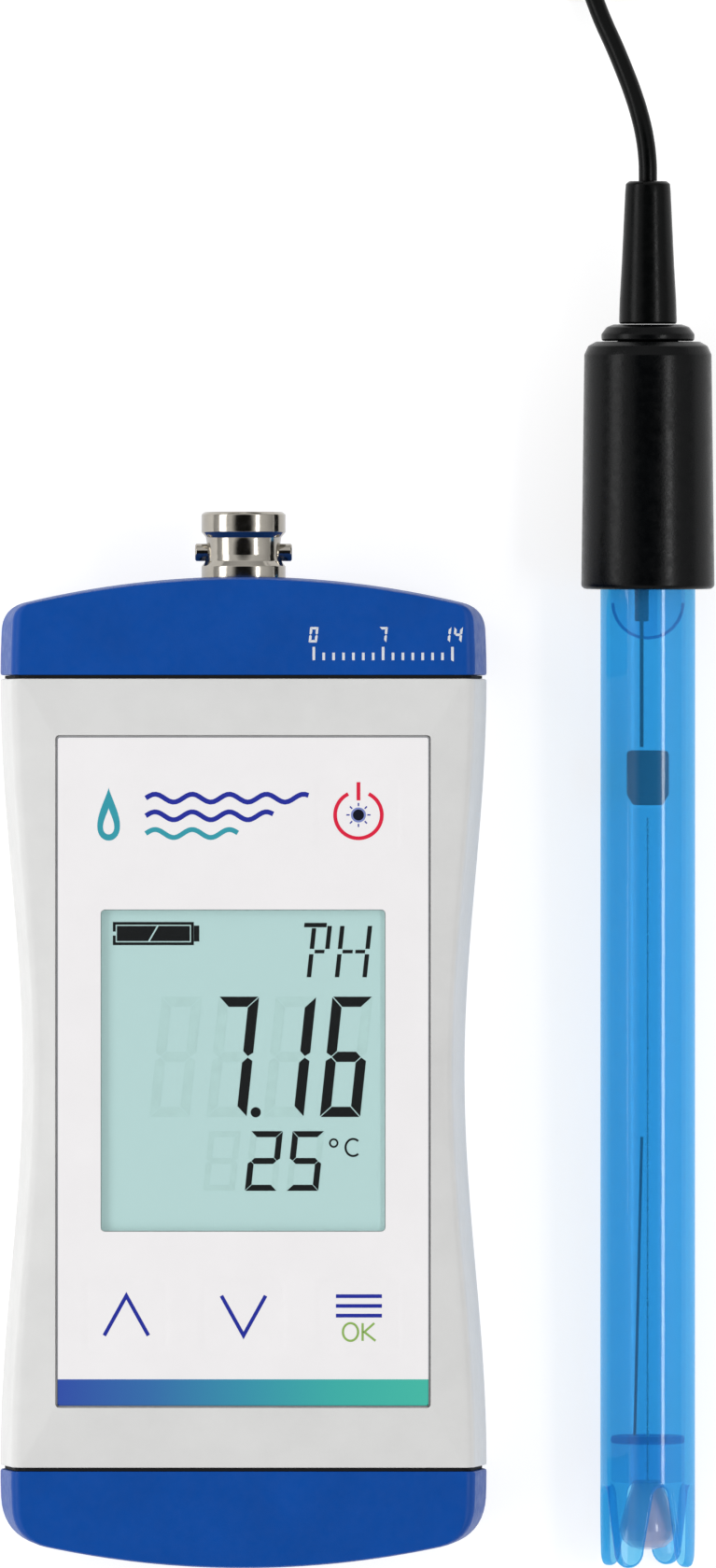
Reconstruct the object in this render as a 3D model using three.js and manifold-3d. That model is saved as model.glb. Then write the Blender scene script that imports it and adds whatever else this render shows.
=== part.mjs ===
// A handheld pH meter with its pH electrode, lying on a table: the meter on its back and the electrode
// beside it, with the electrode's cable wound into a coil and ending in a BNC plug.
// Millimetres, +Z up. The origin is the centre of the meter's flat rear face, +Y runs to the BNC jack
// and +X to the electrode's side.
import * as THREE from "three";
import { mergeVertices } from "three/addons/utils/BufferGeometryUtils.js";
import Module from "manifold-3d";

const wasm = await Module();
wasm.setup();

// ---------------------------------------------------------------- driving dimensions

const CASE = {
  width: 55.2, // over the two ends; the middle is waisted
  length: 112.5,
  waist: 2.5, // how far each side pulls in at the middle
  bodyHalf: 44.6, // the grey body runs from -bodyHalf to +bodyHalf
  capStart: 45.05, // and each blue end cap starts here
  capTaper: 0.6, // how far a cap's sides pull in by its shoulder
  endRadius: 106, // the end faces are flat arcs of this radius
  split: [13.75, 14.05], // the rear shell stops at the first height and the front shell starts at the second
};
const SHOULDER = { top: 2.4, bottom: 4.4 }; // the size of the rounded corners at each end
const FOIL = { left: -21.1, right: 21.1, bottom: -37.7, top: 38.1, seat: 27.15, thick: 0.45 };
const PLATEAU = 27.7; // height of the rim round the foil
const DISPLAY = { x: 0, y: 0.3, width: 32.2, height: 36.4, ledge: 0.5 };
const KEY = { width: 9.6, height: 8.4, travel: 0.4, stem: 1.8, pocket: 26.4 };
const KEYS = {
  power: [13.05, 29.2],
  up: [-13.2, -27.4],
  down: [0.05, -27.4],
  menu: [13.1, -27.4],
};
const BOARD = { bottom: 19.2, thick: 1.6 };
const PLUNGER = 24.3; // height of the switches' plungers
const CELL = { radius: 7.25, length: 49.2, nub: 1.3, x: 7.7, z: 11.3, innerEnd: 6.0 };
const BRIDGE = { outer: -47.6, inner: -47.2, half: 13, post: 8 }; // the strip that joins the two cells
const CASE_SCREWS = { x: 20.6, tops: [36, -28], seat: 3.2, boss: 4.1, pillar: 3, tip: 22.6 };
const CAP_SCREWS = { x: 20.6, z: 9.2, seat: -50.4, reach: -35.5, boss: 4.3, pillar: 3.4 };
const SCREW = { headRadius: 2.75, head: 2, radius: 1.45, room: 3.1, hole: 1.8, thread: 1.6 };
const COLLAR = { from: 41.6, to: 50, floor: 47.4, clear: 0.2, inner: 1.7 }; // of each cap, inside the body
const JACK = { z: 14, rim: 63.6, radius: 4.8, lugs: 59.0, shank: 4.0, seat: 54.5, lugReach: 5.5 };

const SHAFT = { radius: 5.4, bore: 4.3, below: 111.3, above: 6 };
const GRIP = { rimRadius: 7.6, topRadius: 7.25, length: 28.15 };
const ELECTRODE = { x: 46.0, rimY: 54.9 };
const RELIEF = { start: 30.15, end: 46.4, base: 3.3, tip: 2.55 };
const CABLE = { radius: 1.05, bore: 1.3 };
const COIL = { x: 21, y: 142.5, middle: 12.25, pitch: 2.15, layers: 4, turns: 3 };
const PLUG = { x: -1.5, y: 150, z: 7.3, nutRadius: 7.2, nutFrom: 19, length: 32 };
const GAP = 0.3; // between pieces that touch

// ---------------------------------------------------------------- solids

function clean(geometry) {
  const bare = geometry.index ? geometry.toNonIndexed() : geometry.clone();
  bare.deleteAttribute("normal");
  bare.deleteAttribute("uv");
  const merged = mergeVertices(bare, 1e-4);
  const corners = merged.index.array;
  const kept = [];
  for (let i = 0; i < corners.length; i += 3) {
    const [a, b, c] = corners.slice(i, i + 3);
    if (a !== b && b !== c && a !== c) kept.push(a, b, c);
  }
  return { points: merged.attributes.position.array, corners: new Uint32Array(kept) };
}

// A closed geometry as a solid, turned right side out.
function solid(geometry) {
  const { points, corners } = clean(geometry);
  const mesh = () => new wasm.Mesh({ numProp: 3, vertProperties: points, triVerts: corners });
  const made = new wasm.Manifold(mesh());
  if (made.volume() > 0) return made;
  for (let i = 0; i < corners.length; i += 3) {
    [corners[i], corners[i + 1]] = [corners[i + 1], corners[i]];
  }
  return new wasm.Manifold(mesh());
}

function geometryOf(body) {
  const mesh = body.getMesh();
  const points = new Float32Array(mesh.numVert * 3);
  for (let i = 0; i < mesh.numVert; i++) {
    points.set(mesh.vertProperties.subarray(i * mesh.numProp, i * mesh.numProp + 3), i * 3);
  }
  const geometry = new THREE.BufferGeometry();
  geometry.setAttribute("position", new THREE.BufferAttribute(points, 3));
  geometry.setIndex(new THREE.BufferAttribute(mesh.triVerts, 1));
  geometry.computeVertexNormals();
  return geometry;
}

function join(bodies) {
  return bodies.reduce((a, b) => a.add(b));
}

// A box between two corners.
function block([x0, y0, z0], [x1, y1, z1]) {
  const geometry = new THREE.BoxGeometry(x1 - x0, y1 - y0, z1 - z0);
  return solid(geometry.translate((x0 + x1) / 2, (y0 + y1) / 2, (z0 + z1) / 2));
}

// A cylinder along one axis, between two places on it; the other two coordinates are its centre.
function rod(axis, from, to, radius, [u, v], sides = 16) {
  const geometry = new THREE.CylinderGeometry(radius, radius, to - from, sides);
  const middle = (from + to) / 2;
  if (axis === "x") return solid(geometry.rotateZ(Math.PI / 2).translate(middle, u, v));
  if (axis === "y") return solid(geometry.translate(u, middle, v));
  return solid(geometry.rotateX(Math.PI / 2).translate(u, v, middle));
}

// A shape turned about the Y axis, from [radius, y] points. Its ends are on the axis, or it is closed here.
function turned(profile, sides = 24) {
  const ring = profile.map(([r, y]) => new THREE.Vector2(r, y));
  const open = profile[0][0] === 0 && profile[profile.length - 1][0] === 0;
  if (!open) ring.push(ring[0].clone());
  return solid(new THREE.LatheGeometry(ring, sides));
}

function tube(from, to, outer, inner, sides) {
  return turned([[inner, from], [outer, from], [outer, to], [inner, to]], sides);
}

// A flat outline in X and Y, from height z0 to z1.
function plate(points, z0, z1) {
  const shape = new THREE.Shape(points.map(([x, y]) => new THREE.Vector2(x, y)));
  return solid(new THREE.ExtrudeGeometry(shape, { depth: z1 - z0, bevelEnabled: false }).translate(0, 0, z0));
}

function roundedPlate(x, y, width, height, radius, z0, z1) {
  const [l, r, b, t] = [x - width / 2, x + width / 2, y - height / 2, y + height / 2];
  const shape = new THREE.Shape();
  shape.moveTo(l + radius, b);
  shape.lineTo(r - radius, b);
  shape.absarc(r - radius, b + radius, radius, -Math.PI / 2, 0, false);
  shape.absarc(r - radius, t - radius, radius, 0, Math.PI / 2, false);
  shape.absarc(l + radius, t - radius, radius, Math.PI / 2, Math.PI, false);
  shape.absarc(l + radius, b + radius, radius, Math.PI, 1.5 * Math.PI, false);
  const settings = { depth: z1 - z0, bevelEnabled: false, curveSegments: 3 };
  return solid(new THREE.ExtrudeGeometry(shape, settings).translate(0, 0, z0));
}

// A round wire or tube along points, with a closed round section.
function wire(points, radius, steps, sides = 8) {
  const path = new THREE.CatmullRomCurve3(points.map((p) => new THREE.Vector3(...p)), false, "centripetal");
  const section = new THREE.Shape();
  for (let i = 0; i < sides; i++) {
    const turn = (2 * Math.PI * i) / sides;
    const place = [radius * Math.cos(turn), radius * Math.sin(turn)];
    if (i) section.lineTo(...place);
    else section.moveTo(...place);
  }
  return solid(new THREE.ExtrudeGeometry(section, { steps, extrudePath: path, bevelEnabled: false }));
}

// A skin through flat outlines at rising heights, closed at both ends. All have the same number of points.
function loft(outlines) {
  const count = outlines[0].points.length;
  const positions = outlines.flatMap(({ points, z }) => points.flatMap(([x, y]) => [x, y, z]));
  const index = [];
  for (let level = 0; level < outlines.length - 1; level++) {
    for (let i = 0; i < count; i++) {
      const [a, b] = [level * count + i, level * count + ((i + 1) % count)];
      index.push(a, b, b + count, a, b + count, a + count);
    }
  }
  const flat = (k) => outlines[k].points.map(([x, y]) => new THREE.Vector2(x, y));
  const last = outlines.length - 1;
  for (const [a, b, c] of THREE.ShapeUtils.triangulateShape(flat(0), [])) index.push(a, c, b);
  for (const [a, b, c] of THREE.ShapeUtils.triangulateShape(flat(last), [])) {
    index.push(last * count + a, last * count + b, last * count + c);
  }
  const geometry = new THREE.BufferGeometry();
  geometry.setAttribute("position", new THREE.BufferAttribute(new Float32Array(positions), 3));
  geometry.setIndex(index);
  return solid(geometry);
}

// ---------------------------------------------------------------- the meter's case

const SIDE_STEPS = 8;
const CORNER_STEPS = 3;
const END_STEPS = 4;

// Half of the case's width at y: waisted along the body, and slightly tapered along each cap.
function halfWidth(y) {
  const away = Math.abs(y);
  if (away <= CASE.bodyHalf) {
    return CASE.width / 2 - (CASE.waist / 2) * (1 + Math.cos((Math.PI * y) / CASE.bodyHalf));
  }
  const share = (away - CASE.bodyHalf) / (CASE.length / 2 - CASE.bodyHalf);
  return CASE.width / 2 - CASE.capTaper * share * share;
}

function endArc(x, half) {
  return half - (CASE.endRadius - Math.sqrt(CASE.endRadius ** 2 - x * x));
}

// The right side of one end, from its apex to the seam: an arc, then a rounded shoulder, then the cap's side.
function endOutline(inset, endInset, corner) {
  const half = CASE.length / 2 - endInset;
  const shoulder = corner - 0.6 * Math.min(inset, corner);
  const side = halfWidth(half - 3) - inset;
  const start = new THREE.Vector2(side - shoulder, endArc(side - shoulder, half));
  const bend = new THREE.Vector2(side, endArc(side, half));
  const stop = new THREE.Vector2(halfWidth(bend.y - shoulder) - inset, bend.y - shoulder);
  const points = [];
  for (let i = 0; i < END_STEPS; i++) {
    const x = (start.x * i) / END_STEPS;
    points.push([x, endArc(x, half)]);
  }
  const rounded = new THREE.QuadraticBezierCurve(start, bend, stop);
  points.push(...rounded.getPoints(CORNER_STEPS).map((p) => [p.x, p.y]));
  return points;
}

function sideOutline(inset, half = CASE.bodyHalf) {
  const points = [];
  for (let i = 0; i <= SIDE_STEPS; i++) {
    const y = half * (1 - (2 * i) / SIDE_STEPS);
    points.push([halfWidth(y) - inset, y]);
  }
  return points;
}

// The outline of the case seen from the front, pulled in by inset at the sides and endInset at the ends.
function caseOutline(inset, endInset = inset) {
  const top = endOutline(inset, endInset, SHOULDER.top);
  const bottom = endOutline(inset, endInset, SHOULDER.bottom).map(([x, y]) => [x, -y]);
  const right = [...top, ...sideOutline(inset), ...bottom.reverse()];
  const left = right.slice(1, -1).map(([x, y]) => [-x, y]).reverse();
  return [...right, ...left].reverse();
}

const END_DRAFT = 0.2; // the ends slope this share of what the sides do

// Each level is [height, inset]: a flat rear, a widest line at half depth and a front edge that slopes in.
const OUTER_LEVELS = [
  [0, 2.5], [0.5, 1.9], [1.6, 1.45], [13, 0],
  [15, 0], [25.9, 1.3], [26.7, 1.7], [27.1, 2.4],
];
const INNER_LEVELS = [[2.0, 4.2], [3.2, 3.4], [13, 2.2], [15, 2.2], [24.4, 3.4], [25.0, 4.0]];

function outerCase(extra = 0) {
  return loft(
    OUTER_LEVELS.map(([z, inset]) => ({ z, points: caseOutline(inset + extra, END_DRAFT * inset + extra) })),
  );
}

// The hollow of the case, with clear room left between it and what goes inside.
function innerCase(clear = 0) {
  return loft(
    INNER_LEVELS.map(([z, inset], level) => ({
      z: level < 2 ? z + clear : level > 3 ? z - clear : z,
      points: caseOutline(inset + clear),
    })),
  );
}

const FAR = 100;
const slab = (y0, y1, z0 = -FAR, z1 = FAR) => block([-FAR, y0, z0], [FAR, y1, z1]);

const outer = outerCase();
const hollow = innerCase();

// The sloping border of the front, from the body's edge up to the rim round the foil.
function frontBorder() {
  const mirror = (right) => [...right, ...right.map(([x, y]) => [-x, y]).reverse()].reverse();
  const rim = GAP;
  const rimSide = [];
  for (let i = 0; i <= SIDE_STEPS; i++) {
    const share = i / SIDE_STEPS;
    rimSide.push([FOIL.right + rim, FOIL.top + rim - share * (FOIL.top - FOIL.bottom + 2 * rim)]);
  }
  return loft([
    { z: 26.0, points: mirror(sideOutline(2.9)) },
    { z: 27.08, points: mirror(sideOutline(2.5)) },
    { z: PLATEAU, points: mirror(rimSide) },
  ]);
}

function caseScrewPlaces() {
  return CASE_SCREWS.tops.flatMap((y) => [[-CASE_SCREWS.x, y], [CASE_SCREWS.x, y]]);
}

function frontShell() {
  let shell = outer.subtract(hollow).intersect(slab(-CASE.bodyHalf, CASE.bodyHalf, CASE.split[1]));
  shell = shell.add(frontBorder());
  for (const place of caseScrewPlaces()) {
    shell = shell.add(rod("z", CASE.split[1], 25.5, CASE_SCREWS.pillar, place));
    shell = shell.subtract(rod("z", 10, CASE_SCREWS.tip, SCREW.thread, place, 16));
  }
  const middle = [(FOIL.left + FOIL.right) / 2, (FOIL.bottom + FOIL.top) / 2];
  const size = [FOIL.right - FOIL.left + 0.3, FOIL.top - FOIL.bottom + 0.3];
  shell = shell.subtract(roundedPlate(...middle, ...size, 0.5, FOIL.seat, 30));
  const opening = [DISPLAY.width - 2 * DISPLAY.ledge, DISPLAY.height - 2 * DISPLAY.ledge];
  shell = shell.subtract(roundedPlate(DISPLAY.x, DISPLAY.y, ...opening, 0.8, 20, 30));
  for (const place of Object.values(KEYS)) {
    const room = 2 * GAP;
    shell = shell.subtract(roundedPlate(...place, KEY.width + room, KEY.height + room, 1.2, KEY.pocket, 30));
    shell = shell.subtract(rod("z", 20, 28, KEY.stem + GAP, place, 16));
  }
  return shell;
}

function rearShell() {
  let shell = outer.subtract(hollow).intersect(slab(-CASE.bodyHalf, CASE.bodyHalf, -1, CASE.split[0]));
  for (const place of caseScrewPlaces()) {
    shell = shell.add(rod("z", 1.5, CASE.split[0], CASE_SCREWS.boss, place));
    shell = shell.subtract(rod("z", -1, CASE_SCREWS.seat, SCREW.room, place));
    shell = shell.subtract(rod("z", 3, 20, SCREW.hole, place, 16));
  }
  for (const side of [-1, 1]) {
    const x = side * CAP_SCREWS.x;
    const place = [x, CAP_SCREWS.z];
    const inner = CAP_SCREWS.reach + 2;
    const web = block([x - 2, -CASE.bodyHalf, 1.5], [x + 2, inner, CAP_SCREWS.z]);
    shell = shell.add(rod("y", -CASE.bodyHalf, inner, CAP_SCREWS.pillar, place)).add(web);
    shell = shell.subtract(rod("y", -60, CAP_SCREWS.reach + 0.8, SCREW.hole, place, 16));
  }
  return shell;
}

// An end cap: a cover with a collar that fits inside the body. end is +1 for the top and -1 for the bottom.
function endCover(end) {
  const beyond = (from, to) => (end > 0 ? slab(from, to) : slab(-to, -from));
  const cover = outer.intersect(beyond(CASE.capStart, FAR));
  const collar = innerCase(COLLAR.clear).intersect(beyond(COLLAR.from, COLLAR.to));
  const throat = innerCase(COLLAR.inner).intersect(beyond(0, FAR));
  return cover.add(collar).subtract(throat.add(hollow.intersect(beyond(COLLAR.floor, FAR))));
}

function topCap() {
  const axis = [0, JACK.z];
  let cap = endCover(1).add(rod("y", JACK.seat - 3, JACK.seat + 1.1, 8, axis));
  cap = cap.subtract(rod("y", JACK.seat, 70, JACK.radius + GAP, axis, 24));
  cap = cap.subtract(rod("y", 40, 70, JACK.shank + GAP, axis, 24));
  return cap;
}

function bottomCap() {
  let cap = endCover(-1);
  for (const side of [-1, 1]) {
    const place = [side * CAP_SCREWS.x, CAP_SCREWS.z];
    const [x, z] = place;
    cap = cap.subtract(block([x - 4.2, 0.05 - CASE.capStart, -1], [x + 4.2, -40, z + 4.2]));
    cap = cap.add(rod("y", -52.6, -CASE.capStart, CAP_SCREWS.boss, place).intersect(outer));
    cap = cap.subtract(rod("y", -60, CAP_SCREWS.seat, SCREW.room, place));
    cap = cap.subtract(rod("y", -60, -40, SCREW.hole, place, 16));
    cap = cap.add(rod("y", -55, BRIDGE.outer - 0.05, 3, [side * BRIDGE.post, CELL.z], 16));
  }
  return cap;
}

// The dark rubber ring in the seam between the body and a cap. end is +1 at the top and -1 at the bottom.
function seamRing(end) {
  const from = CASE.bodyHalf + 0.06;
  const to = CASE.capStart - 0.06;
  const layer = end > 0 ? slab(from, to) : slab(-to, -from);
  return outerCase(0.5).subtract(innerCase(0.05)).intersect(layer);
}

// The seal of the two shells: the ring at the top cap and a strip down each side, between the shells.
function caseSeal() {
  const between = slab(-44.4, CASE.bodyHalf + 0.2, CASE.split[0] + 0.05, CASE.split[1] - 0.05);
  const strips = outerCase(0.7).subtract(outerCase(1.7)).intersect(between);
  return seamRing(1).add(strips);
}

// ---------------------------------------------------------------- the meter's front

function frontFoil() {
  const middle = [(FOIL.left + FOIL.right) / 2, (FOIL.bottom + FOIL.top) / 2];
  const size = [FOIL.right - FOIL.left, FOIL.top - FOIL.bottom];
  const [z0, z1] = [FOIL.seat + 0.02, FOIL.seat + FOIL.thick];
  let foil = roundedPlate(...middle, ...size, 0.4, z0, z1);
  foil = foil.subtract(roundedPlate(DISPLAY.x, DISPLAY.y, DISPLAY.width, DISPLAY.height, 0.5, 20, 30));
  for (const place of Object.values(KEYS)) {
    foil = foil.subtract(roundedPlate(...place, KEY.width + 2 * GAP, KEY.height + 2 * GAP, 1.2, 20, 30));
  }
  return foil;
}

// One key: its patch of the front with a stem that reaches down to its switch.
function key([x, y]) {
  const top = FOIL.seat + FOIL.thick;
  const patch = roundedPlate(x, y, KEY.width, KEY.height, 1, top - 0.5, top);
  return patch.add(rod("z", PLUNGER + KEY.travel + 0.05, top - 0.2, KEY.stem, [x, y], 16));
}

function tactileSwitch([x, y]) {
  const base = BOARD.bottom + BOARD.thick + 0.05;
  const body = block([x - 3, y - 3, base], [x + 3, y + 3, base + 2.4]);
  return body.add(rod("z", base, PLUNGER, 1.7, [x, y], 12));
}

const PANE = { z0: 27.17, z1: 27.55 }; // the clear pane rests on the shell's ledge

function displayWindow() {
  const gap = 2 * 0.1;
  return roundedPlate(DISPLAY.x, DISPLAY.y, DISPLAY.width - gap, DISPLAY.height - gap, 0.5, PANE.z0, PANE.z1);
}

const LCD = { width: 34.4, height: 42.6, z0: 23.9 };

// The two glass plates of the display: the lower one is longer, with its contact ledges at both ends.
function lcdGlass() {
  const { x, y } = DISPLAY;
  const lower = roundedPlate(x, y, LCD.width, LCD.height, 0.3, LCD.z0 - 1.1, LCD.z0);
  const [width, height] = [DISPLAY.width - 1.4, DISPLAY.height - 1.4];
  return lower.add(roundedPlate(x, y, width, height, 0.3, LCD.z0 - 0.2, 26.6));
}

function lcdFrame() {
  const { x, y } = DISPLAY;
  const base = BOARD.bottom + BOARD.thick + 0.05;
  const frame = roundedPlate(x, y, LCD.width + 3.2, LCD.height + 3.2, 1, base, 23.9);
  return frame.subtract(roundedPlate(x, y, LCD.width + 0.6, LCD.height + 0.6, 0.5, 0, 30));
}

function backlight() {
  const base = BOARD.bottom + BOARD.thick + 0.05;
  const { x, y } = DISPLAY;
  return roundedPlate(x, y, LCD.width - 1, 36.4, 0.5, base, LCD.z0 - 1.2);
}

// The rubber strip that carries the display's signals from the board to the upper ledge of its glass.
function zebraStrip() {
  const base = BOARD.bottom + BOARD.thick + 0.05;
  const y = DISPLAY.y + LCD.height / 2 - 1.3;
  return block([-LCD.width / 2 + 0.4, y - 0.9, base], [LCD.width / 2 - 0.4, y + 0.9, LCD.z0 - 1.2]);
}

// ---------------------------------------------------------------- the electronics and the cells

function circuitBoard() {
  const [wide, narrow] = [21, 16.9];
  const right = [[wide, 32.5], [wide, -22.5], [narrow, -23.5], [narrow, -32.5]];
  const outline = [...right, ...right.map(([x, y]) => [-x, y]).reverse()];
  return plate(outline, BOARD.bottom, BOARD.bottom + BOARD.thick);
}

// A chip on the underside of the board, in the free space past the inner ends of the cells.
function chip(x, y, width, height, thick) {
  const top = BOARD.bottom - 0.05;
  return block([x - width / 2, y - height / 2, top - thick], [x + width / 2, y + height / 2, top]);
}

function batteryTray() {
  const { x, z, innerEnd } = CELL;
  let tray = block([-16.2, -40.6, 2.15], [16.2, innerEnd + 5.6, 12.6]);
  for (const side of [-1, 1]) {
    tray = tray.subtract(rod("y", -50, innerEnd + 0.6, CELL.radius + GAP, [side * x, z], 24));
    tray = tray.subtract(block([side * x - 6.6, innerEnd, 4.6], [side * x + 6.6, innerEnd + 4.4, 20]));
  }
  return tray;
}

// An AA cell. Its plus nub points to +Y when turn is +1 and to -Y when it is -1.
function cell(x, turn) {
  const half = (CELL.length + CELL.nub) / 2;
  const body = turned(
    [[0, -half], [6.3, -half], [CELL.radius, -half + 0.9], [CELL.radius, half - CELL.nub - 0.9],
      [6.3, half - CELL.nub], [2.75, half - CELL.nub], [2.75, half], [0, half]],
  );
  const placed = turn > 0 ? body : body.rotate([180, 0, 0]);
  return placed.translate([x, CELL.innerEnd - half - 0.1, CELL.z]);
}

function contactSpring() {
  const turns = 3;
  const steps = 10 * turns;
  const points = [];
  for (let i = 0; i <= steps; i++) {
    const turn = (2 * Math.PI * turns * i) / steps;
    const radius = 4.2 - (1.6 * i) / steps;
    points.push([
      -CELL.x + radius * Math.cos(turn),
      CELL.innerEnd + 3.3 - (2.7 * i) / steps,
      CELL.z + radius * Math.sin(turn),
    ]);
  }
  const coil = wire(points, 0.3, steps, 5);
  const plateY = CELL.innerEnd + 3.3;
  return coil.add(block([-CELL.x - 5, plateY, CELL.z - 5], [-CELL.x + 5, plateY + 0.4, CELL.z + 7.2]));
}

function contactPlate() {
  const y = CELL.innerEnd + 0.4;
  const front = block([CELL.x - 4, y, CELL.z - 4], [CELL.x + 4, y + 0.4, CELL.z + 4]);
  const step = block([CELL.x - 4, y, CELL.z + 3.6], [CELL.x + 4, y + 3.3, CELL.z + 4]);
  return front.add(step).add(block([CELL.x - 4, y + 2.9, CELL.z + 3.6], [CELL.x + 4, y + 3.3, CELL.z + 7.2]));
}

// The strip inside the bottom cap that joins the outer ends of the two cells.
function contactBridge() {
  const { outer: back, inner: front, half } = BRIDGE;
  let strip = block([-half, back, CELL.z - 4.5], [half, front, CELL.z + 4.5]);
  for (const side of [-1, 1]) {
    strip = strip.add(rod("y", back, -44.95, 2.2, [side * CELL.x, CELL.z], 16));
  }
  return strip;
}

// A screw along +Z, with its head at the bottom and a cross recess in the head.
function screw(length) {
  const { head, headRadius, radius } = SCREW;
  let body = rod("z", 0, head, headRadius, [0, 0]);
  body = body.add(rod("z", head - 0.2, head + length, radius, [0, 0], 10));
  for (const [w, d] of [[3.2, 0.8], [0.8, 3.2]]) {
    body = body.subtract(block([-w / 2, -d / 2, -1], [w / 2, d / 2, 1.1]));
  }
  return body;
}

// ---------------------------------------------------------------- the BNC jack, turned about the Y axis

function jackShell() {
  const { rim, radius, shank, lugReach } = JACK;
  const [bore, waist] = [4.05, 4.2];
  const mouth = [[bore, rim], [4.5, rim], [radius, rim - 0.3], [radius, rim - 2.4], [waist, rim - 3.3]];
  const base = [[waist, rim - 5.1], [radius, rim - 6.1], [radius, 55.25], [shank, 55.25], [shank, 46.0]];
  let shell = turned([...mouth, ...base, [3.0, 46.0], [3.0, 53.4], [bore, 53.4]]);
  const lugs = rod("x", -lugReach, lugReach, 1.0, [JACK.lugs, 0], 12);
  shell = shell.add(lugs.subtract(rod("y", 40, 70, bore + 0.05, [0, 0], 24)));
  return shell.translate([0, 0, JACK.z]);
}

function jackInsulator() {
  const sleeve = turned([[1.15, 44.8], [2.9, 44.8], [2.9, 53.6], [2.4, 53.6], [2.4, 62.4], [1.15, 62.4]], 16);
  return sleeve.translate([0, 0, JACK.z]);
}

function jackContact() {
  const socket = [[1.05, 61.9], [0.6, 61.9], [0.6, 57], [0, 57]];
  const pin = turned([[0, 42.2], [0.75, 42.2], [0.75, 44.4], [1.05, 44.4], ...socket], 16);
  return pin.translate([0, 0, JACK.z]);
}

function jackNut() {
  const nut = solid(new THREE.CylinderGeometry(6.4, 6.4, 2.4, 6)).subtract(rod("y", -5, 5, 4.15, [0, 0], 24));
  return nut.translate([0, 49.5, JACK.z]);
}

// From the back of the jack's contact to the input amplifier on the board.
const SIGNAL_WIRE = [
  [0, 41.9, 14],
  [0.6, 39, 14.2],
  [3, 35.5, 15],
  [6, 31.5, 16.3],
  [8, 28.3, 17.4],
];

const jackSeal = () => tube(54.6, 55.15, 4.75, 4.1, 24).translate([0, 0, JACK.z]);

// ---------------------------------------------------------------- the electrode, turned about its own axis
// Here y runs along the electrode, from 0 at the rim of its black grip to the plus side at the cable.

const TIP = -SHAFT.below;

// The crown at the tip: four prongs with rounded ends, left by four notches that widen towards the end.
function crownNotches() {
  const prongs = 4;
  const firstNotch = THREE.MathUtils.degToRad(18);
  const top = TIP + 9.2;
  const outline = new THREE.Shape();
  const flare = [[2.2, TIP + 2], [2.45, TIP + 1], [3.0, TIP + 0.25], [3.0, TIP - 1]];
  outline.moveTo(1.1, top - 1.1);
  outline.absarc(0, top - 1.1, 1.1, 0, Math.PI, false);
  for (const [x, y] of flare) {
    outline.lineTo(-x, y);
  }
  for (const [x, y] of flare.reverse()) {
    outline.lineTo(x, y);
  }
  const settings = { depth: 8, bevelEnabled: false, curveSegments: 6 };
  const notch = new THREE.ExtrudeGeometry(outline, settings);
  return join(
    Array.from({ length: prongs }, (_, i) => solid(notch.clone().rotateY(firstNotch + (i * Math.PI) / 2))),
  );
}

function shaft() {
  const end = SHAFT.above;
  const { radius, bore } = SHAFT;
  const tip = [[bore, TIP + 0.5], [bore + 0.4, TIP], [radius - 0.5, TIP], [radius, TIP + 0.6]];
  return turned([...tip, [radius, end], [bore, end]], 32).subtract(crownNotches());
}

// The glass stem with the pH-sensitive bulb blown on its end.
function glassBulb() {
  const stem = 1.7;
  const blown = [[2.1, -102.7], [2.8, -105.2], [3.3, -107.1], [2.9, -108.3], [1.8, -109.2]];
  const outside = [[stem, -25], [stem, -101.7], ...blown];
  const wall = 0.35;
  const inside = outside.map(([r, y], i) => [r - wall, i < 4 ? y : y + wall]).reverse();
  return turned([[0, -109.4 + wall], ...inside, ...outside, [0, -109.4]], 16);
}

// A silver wire in the filling beside the stem. It runs down to the junction plug.
const REFERENCE_WIRE = [
  [-0.7, -62.3, 2.2],
  [-1.1, -79.5, 2.15],
  [-1.5, -96.3, 2.1],
];

// The bung that closes the top of the glass stem.
const stemBung = () => turned([[0, -18.4], [2.1, -18.4], [2.1, -23.6], [1.5, -24.6], [0, -24.6]], 20);

// The lead from the stem up through the potting: bare at its lower end and sleeved above.
function innerLead() {
  return turned([[0, -18.0], [0.3, -18.0], [0.3, -4.2], [0.95, -4.2], [0.95, 23.6], [0, 23.6]], 12);
}

// Clear resin that closes the top of the shaft, with a rounded lower end.
function potting() {
  const round = [];
  const steps = 4;
  const [radius, bore] = [4.2, 1.1];
  for (let i = 0; i <= steps; i++) {
    const turn = (Math.acos(bore / radius) * i) / steps;
    round.push([radius * Math.cos(turn), -1.6 - radius * Math.sin(turn)]);
  }
  return turned([[bore, 5.9], [radius, 5.9], ...round]);
}

function grip() {
  const { rimRadius, topRadius, length } = GRIP;
  return turned(
    [[SHAFT.radius + 0.15, 0.5], [6.6, 0], [rimRadius - 0.3, 0], [rimRadius, 0.35], [rimRadius - 0.02, 0.9],
      [topRadius, length - 1.4], [topRadius - 0.45, length - 0.45], [topRadius - 1.4, length], [3.4, length],
      [3.4, SHAFT.above + 0.3], [SHAFT.radius + 0.15, SHAFT.above + 0.3]],
    32,
  );
}

function collar() {
  const base = GRIP.length + 0.05;
  return turned(
    [[CABLE.bore, 24], [3.2, 24], [3.2, base], [5.3, base], [5.3, base + 0.7], [4.7, base + 1.6],
      [3.9, base + 1.9], [CABLE.bore, base + 1.9]],
  );
}

function strainRelief() {
  const { start, end, base, tip } = RELIEF;
  return turned(
    [[CABLE.bore, start], [base, start], [tip, end - 0.5], [tip - 0.35, end], [CABLE.bore, end]],
    20,
  );
}

// ---------------------------------------------------------------- the plug, turned about its own axis
// Here y runs from 0 at the cable's end of the boot to the open front of the coupling nut.

function plugBoot() {
  return turned([[CABLE.bore, 0], [2.1, 0], [2.4, 0.5], [3.7, 10.2], [3.7, 11], [CABLE.bore, 11]], 20);
}

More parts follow.
